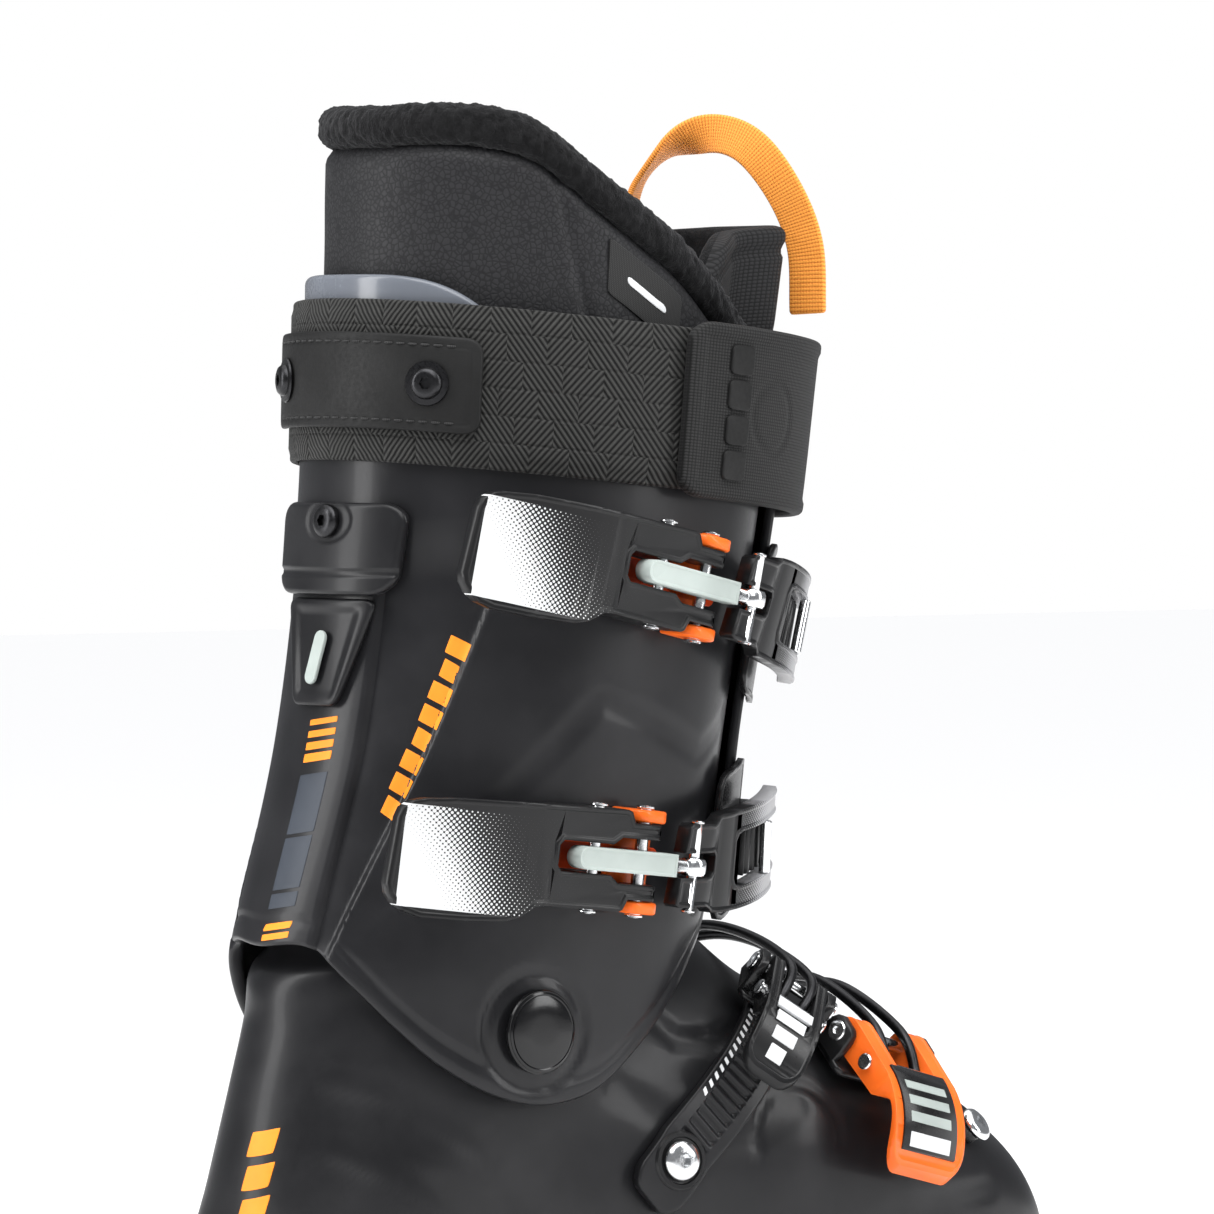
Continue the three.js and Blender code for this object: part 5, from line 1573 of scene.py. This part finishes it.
def build_instep():
    place = ribbon_place(INSTEP_ROUTE, lambda t: lerp(9, 7.5, t), -0.06, 0.74)
    length = reach_of(place)

    def teeth(u, v):
        aside = abs(2 * v - 1)
        s = (u * length / 3.4) % 1
        tooth = 1.15 * (1 - smooth(abs(2 * s - 1), 0.1, 0.9))
        return tooth * (1 - smooth(aside, 0.5, 0.6)) * smooth(u, 0.14, 0.16)

    strap = skin("strap", place, (length, 17), (260, 34), 0.6, 4.0, 0.7, 5, teeth, [SHELL])
    ticks = []
    for k in range(13):
        u0 = 0.3 + 0.042 * k

        def tick(u, v, off, u0=u0):
            return place(u0 + 0.018 * u + 0.012 * v, 0.83 + 0.1 * v, off)

        ticks.append(skin(f"tick{k}", tick, (1.6, 2.4), (4, 5), 3.2, 4.12, 0.08, 0.2, None,
                          [PRINT]))
    piece(fused("instep_strap_teeth", [strap] + ticks), "shell", "shell_plastic",
          "instep_ladder")
    at = frame_on_route(INSTEP_ROUTE, 0.03, 0)
    boss_screw("instep_screw_fine", "instep_anchor_screw", at,
               [(2.8, 0.35), (2.8, 4.1), (5.4, 4.3), (5.6, 4.7), (5.5, 5.3), (4.9, 6.0),
                (3.4, 6.5)])
    collar = turned("instep_boss", [(8.2, 2.6), (8.2, 4.1), (7.7, 4.7), (6.6, 4.7), (6.3, 4.2),
                                    (6.0, 4.1)], at, 56, material=BUCKLE)
    piece(collar, "shell", "buckle_black")
    at = frame_on_route(INSTEP_ROUTE, 0.72, 4.5)
    build_shell_base("instep", at, 9.4, -8, 8, BUCKLE)
    piece(pin("instep_hinge_rivet", at, 0, 8, 1.8, 12.9, 2.9, SILVER), "shell", "silver",
          "instep_hinge_pin")
    blocks = [(-35 + 5.2 * k, -31.4 + 5.2 * k, -2.0 - 1.3 * k, 3.0 + 0.9 * k, 0.1, PRINT)
              for k in (3, 2, 1, 0)]
    build_shell_lever("instep", at, {"length": 38, "half": 9, "slot": 5.6, "thick": 3,
                                     "bend": 10}, BUCKLE, blocks)
    build_shell_bail("instep", at, 9, 5.6, [(7.8, -18), (7.85, 4), (7.9, 24), (7.95, 42)])
    build_hook("instep_catch", 7.95, 52, 9)


def build_toe():
    at = frame_on_route(TOE_ROUTE, 0.68, 1.2)
    build_shell_base("toe", at, 17, -10, 8, BUCKLE)
    piece(pin("toe_hinge_rivet", at, 0, 8, 1.8, 20.5, 2.9, SILVER), "shell", "silver",
          "toe_hinge_pin")
    faces = [(-37, -15, -12.6, 12.6, 0.25, BUCKLE), (-36.4, -33.4, -9.5, 9.5, 0.45, PRINT)]
    faces += [(-31 + 4.4 * k, -28.6 + 4.4 * k, -9.5, 9.5, 0.45, BARE) for k in range(3)]
    build_shell_lever("toe", at, {"length": 40, "half": 16.6, "slot": 9, "thick": 3.4,
                                  "bend": 14}, ORANGE, faces)
    build_shell_bail("toe", at, 16.6, 9, [(6.2, -18), (6, 4), (5.8, 24), (5.6, 40)])
    build_hook("toe_catch", 5.6, 52, 12)
    band = shell_route((4.1, -58), (4.85, -43))
    place = ribbon_place(band, lambda t: 6)
    piece(skin("toe_band_fine", place, (reach_of(place), 12), (60, 20), 0.35, 3, 0.6, 4, None,
               [BUCKLE]), "shell", "shell_plastic", "toe_band")
    boss_screw("toe_band_screw_fine", "toe_band_screw", frame_on_route(band, 0.12, 0),
               [(2.8, 0.35), (2.8, 3.2), (5.0, 3.3), (5.2, 3.7), (5.1, 4.2), (4.6, 4.9),
                (3.3, 5.5)])


# ---- printed marks -----------------------------------------------------------------------
def cuff_mark(name, corners, material, rise=0.14):
    """A thin printed patch on the cuff between four corners (degrees, z)."""
    (a, b, c, d) = corners

    def place(u, v, off):
        degrees = lerp(lerp(a[0], b[0], u), lerp(d[0], c[0], u), v)
        z = lerp(lerp(a[1], b[1], u), lerp(d[1], c[1], u), v)
        return cuff_point(radians(degrees), z, off - cuff_relief(degrees, z))

    lengths = (hypot(b[0] - a[0], b[1] - a[1]), hypot(d[0] - a[0], d[1] - a[1]))
    counts = tuple(max(int(x / 1.2), 3) for x in lengths)
    return skin(name, place, lengths, counts, -0.4, rise, 0.07, 0.25, None, [material])


def build_marks():
    marks = []
    foot, head = (-33.0, 163), (-45.5, 212)
    dx, dz = head[0] - foot[0], head[1] - foot[1]
    length = hypot(dx, dz)
    ax, az = dx / length, dz / length
    for k in range(8):
        start, stop = k * length / 8, k * length / 8 + length / 8 - 1.5
        wide = 3.2 if k % 3 else 2.4
        corners = []
        for s, w in ((start, -wide), (stop, -wide), (stop + 1.2, wide), (start + 1.2, wide)):
            corners.append((foot[0] + ax * s + az * w, foot[1] + az * s - ax * w))
        marks.append(cuff_mark(f"bar{k}", corners, PRINT_ORANGE))
    rows = [(189 - 3.1 * k, 187.4 - 3.1 * k - 0.25 * k, PRINT_ORANGE) for k in range(4)]
    rows += [(174, 158, PRINT_GREY), (157, 143, PRINT_GREY), (142, 138, PRINT_GREY)]
    rows += [(134 - 2.8 * k, 132.1 - 2.8 * k + 0.2 * k, PRINT_ORANGE) for k in range(2)]
    for high, low, paint in rows:
        slant = 1.4
        marks.append(cuff_mark(f"spine{high}", [(-12, low + slant), (-1.5, low),
                                                (-1.5, high), (-12, high + slant)], paint))
    piece(fused("cuff_prints", marks), "cuff", "orange")

    heel = []
    for k in range(3):
        v0 = lerp(13.85, 14.75, k / 3)

        def block(u, v, off, v0=v0):
            at_v, angle = v0 + 0.22 * v, radians(-174 + 12 * u + 1.5 * v)
            return shell_point(at_v, angle) + shell_normal(at_v, angle) * off

        heel.append(skin(f"heel{k}", block, (8, 5), (8, 6), -0.4, 0.16, 0.08, 0.4, None,
                         [PRINT_ORANGE]))
    piece(fused("heel_prints", heel), "shell", "orange")


# ---- pieces that keep the CAD's shape ----------------------------------------------------
KEPT = [
    ("toe_sole", "sole_rubber", SOLE, 0.8), ("heel_sole", "sole_rubber", SOLE, 0.8),
    ("boot_board", "board_foam", FOAM, 0.6), ("footbed", "board_foam", FOAM, 0.6),
    ("liner_foot", "liner_leather", LEATHER, 0.5),
]
KEPT += [(f"{end}_sole_screw_{side}", "black_metal", DARK_METAL, 0.2)
         for end in ("toe", "heel") for side in ("medial", "lateral")]


def build_kept():
    for node, slot, material, width in KEPT:
        fine_copy(node, f"{node}_fine", "shell", slot, material, width)


# ---- camera, light and floor -------------------------------------------------------------
CAMERA_TARGET = Vector((57.3, -59.0, 219.9))
CAMERA_AZIMUTH, CAMERA_RISE = -38, 1.5
CAMERA_AWAY = 2200


def build_camera():
    data = bpy.data.cameras.new("camera")
    data.sensor_width = 36
    data.lens = 241.4
    data.clip_end = 100
    camera = bpy.data.objects.new("camera", data)
    azimuth, rise = radians(CAMERA_AZIMUTH), radians(CAMERA_RISE)
    away = Vector((sin(azimuth) * cos(rise), -cos(azimuth) * cos(rise), sin(rise)))
    camera.location = (CAMERA_TARGET + away * CAMERA_AWAY) * MM
    camera.rotation_euler = (-away).to_track_quat("-Z", "Y").to_euler()
    bpy.context.scene.collection.objects.link(camera)
    bpy.context.scene.camera = camera


# name, azimuth, elevation, distance, size and power, in degrees, metres and watts
SOFTBOXES = [
    ("top", -40, 70, 1.1, (0.9, 0.7), 9),
    ("left_strip", -112, 18, 1.1, (0.3, 1.1), 9),
    ("right_strip", 36, 24, 1.2, (0.3, 1.0), 7),
    ("front", -30, 40, 1.8, (0.9, 0.6), 9),
]


def softbox(name, azimuth, elevation, distance, size, power_w):
    """A rectangular area light that faces the boot."""
    data = bpy.data.lights.new(name, "AREA")
    data.shape = "RECTANGLE"
    data.size, data.size_y = size
    data.energy = power_w
    light = bpy.data.objects.new(name, data)
    a, e = radians(azimuth), radians(elevation)
    away = Vector((sin(a) * cos(e), -cos(a) * cos(e), sin(e)))
    light.location = Vector((0.08, 0, 0.18)) + away * distance
    light.rotation_euler = (-away).to_track_quat("-Z", "Y").to_euler()
    bpy.context.scene.collection.objects.link(light)


def build_studio():
    """Soft light, a white background that only the camera sees, and a pale floor."""
    world = bpy.data.worlds.new("studio")
    bpy.context.scene.world = world
    world.use_nodes = True
    tree = world.node_tree
    lit = tree.nodes["Background"]
    lit.inputs[0].default_value = (0.93, 0.95, 1.0, 1)
    lit.inputs[1].default_value = 0.24
    seen = tree.nodes.new("ShaderNodeBackground")
    seen.inputs[0].default_value = (1, 1, 1, 1)
    path = tree.nodes.new("ShaderNodeLightPath")
    mix = tree.nodes.new("ShaderNodeMixShader")
    tree.links.new(path.outputs["Is Camera Ray"], mix.inputs[0])
    tree.links.new(lit.outputs[0], mix.inputs[1])
    tree.links.new(seen.outputs[0], mix.inputs[2])
    tree.links.new(mix.outputs[0], tree.nodes["World Output"].inputs[0])
    for box in SOFTBOXES:
        softbox(*box)
    overhead = bpy.data.lights.new("overhead", "SUN")
    overhead.energy = 2.6
    overhead.angle = 1.6
    bpy.context.scene.collection.objects.link(bpy.data.objects.new("overhead", overhead))
    bpy.ops.mesh.primitive_plane_add(size=12, location=(0, 0, 0))
    floor_piece = bpy.context.object
    floor_piece.name = "floor"
    paint = Paint("floor_white", (0.95, 0.95, 0.95), 0.85)
    floor_piece.data.materials.append(paint.material)
    view = bpy.context.scene.view_settings
    view.view_transform = "Standard"
    view.look = "None"
    view.exposure = 0.0


build_camera()
build_studio()
build_shell()
build_cuff()
build_pivots()
build_blade()
build_strap()
build_liner()
build_tongue()
build_loop()
build_buckles()
build_instep()
build_toe()
build_marks()
build_kept()
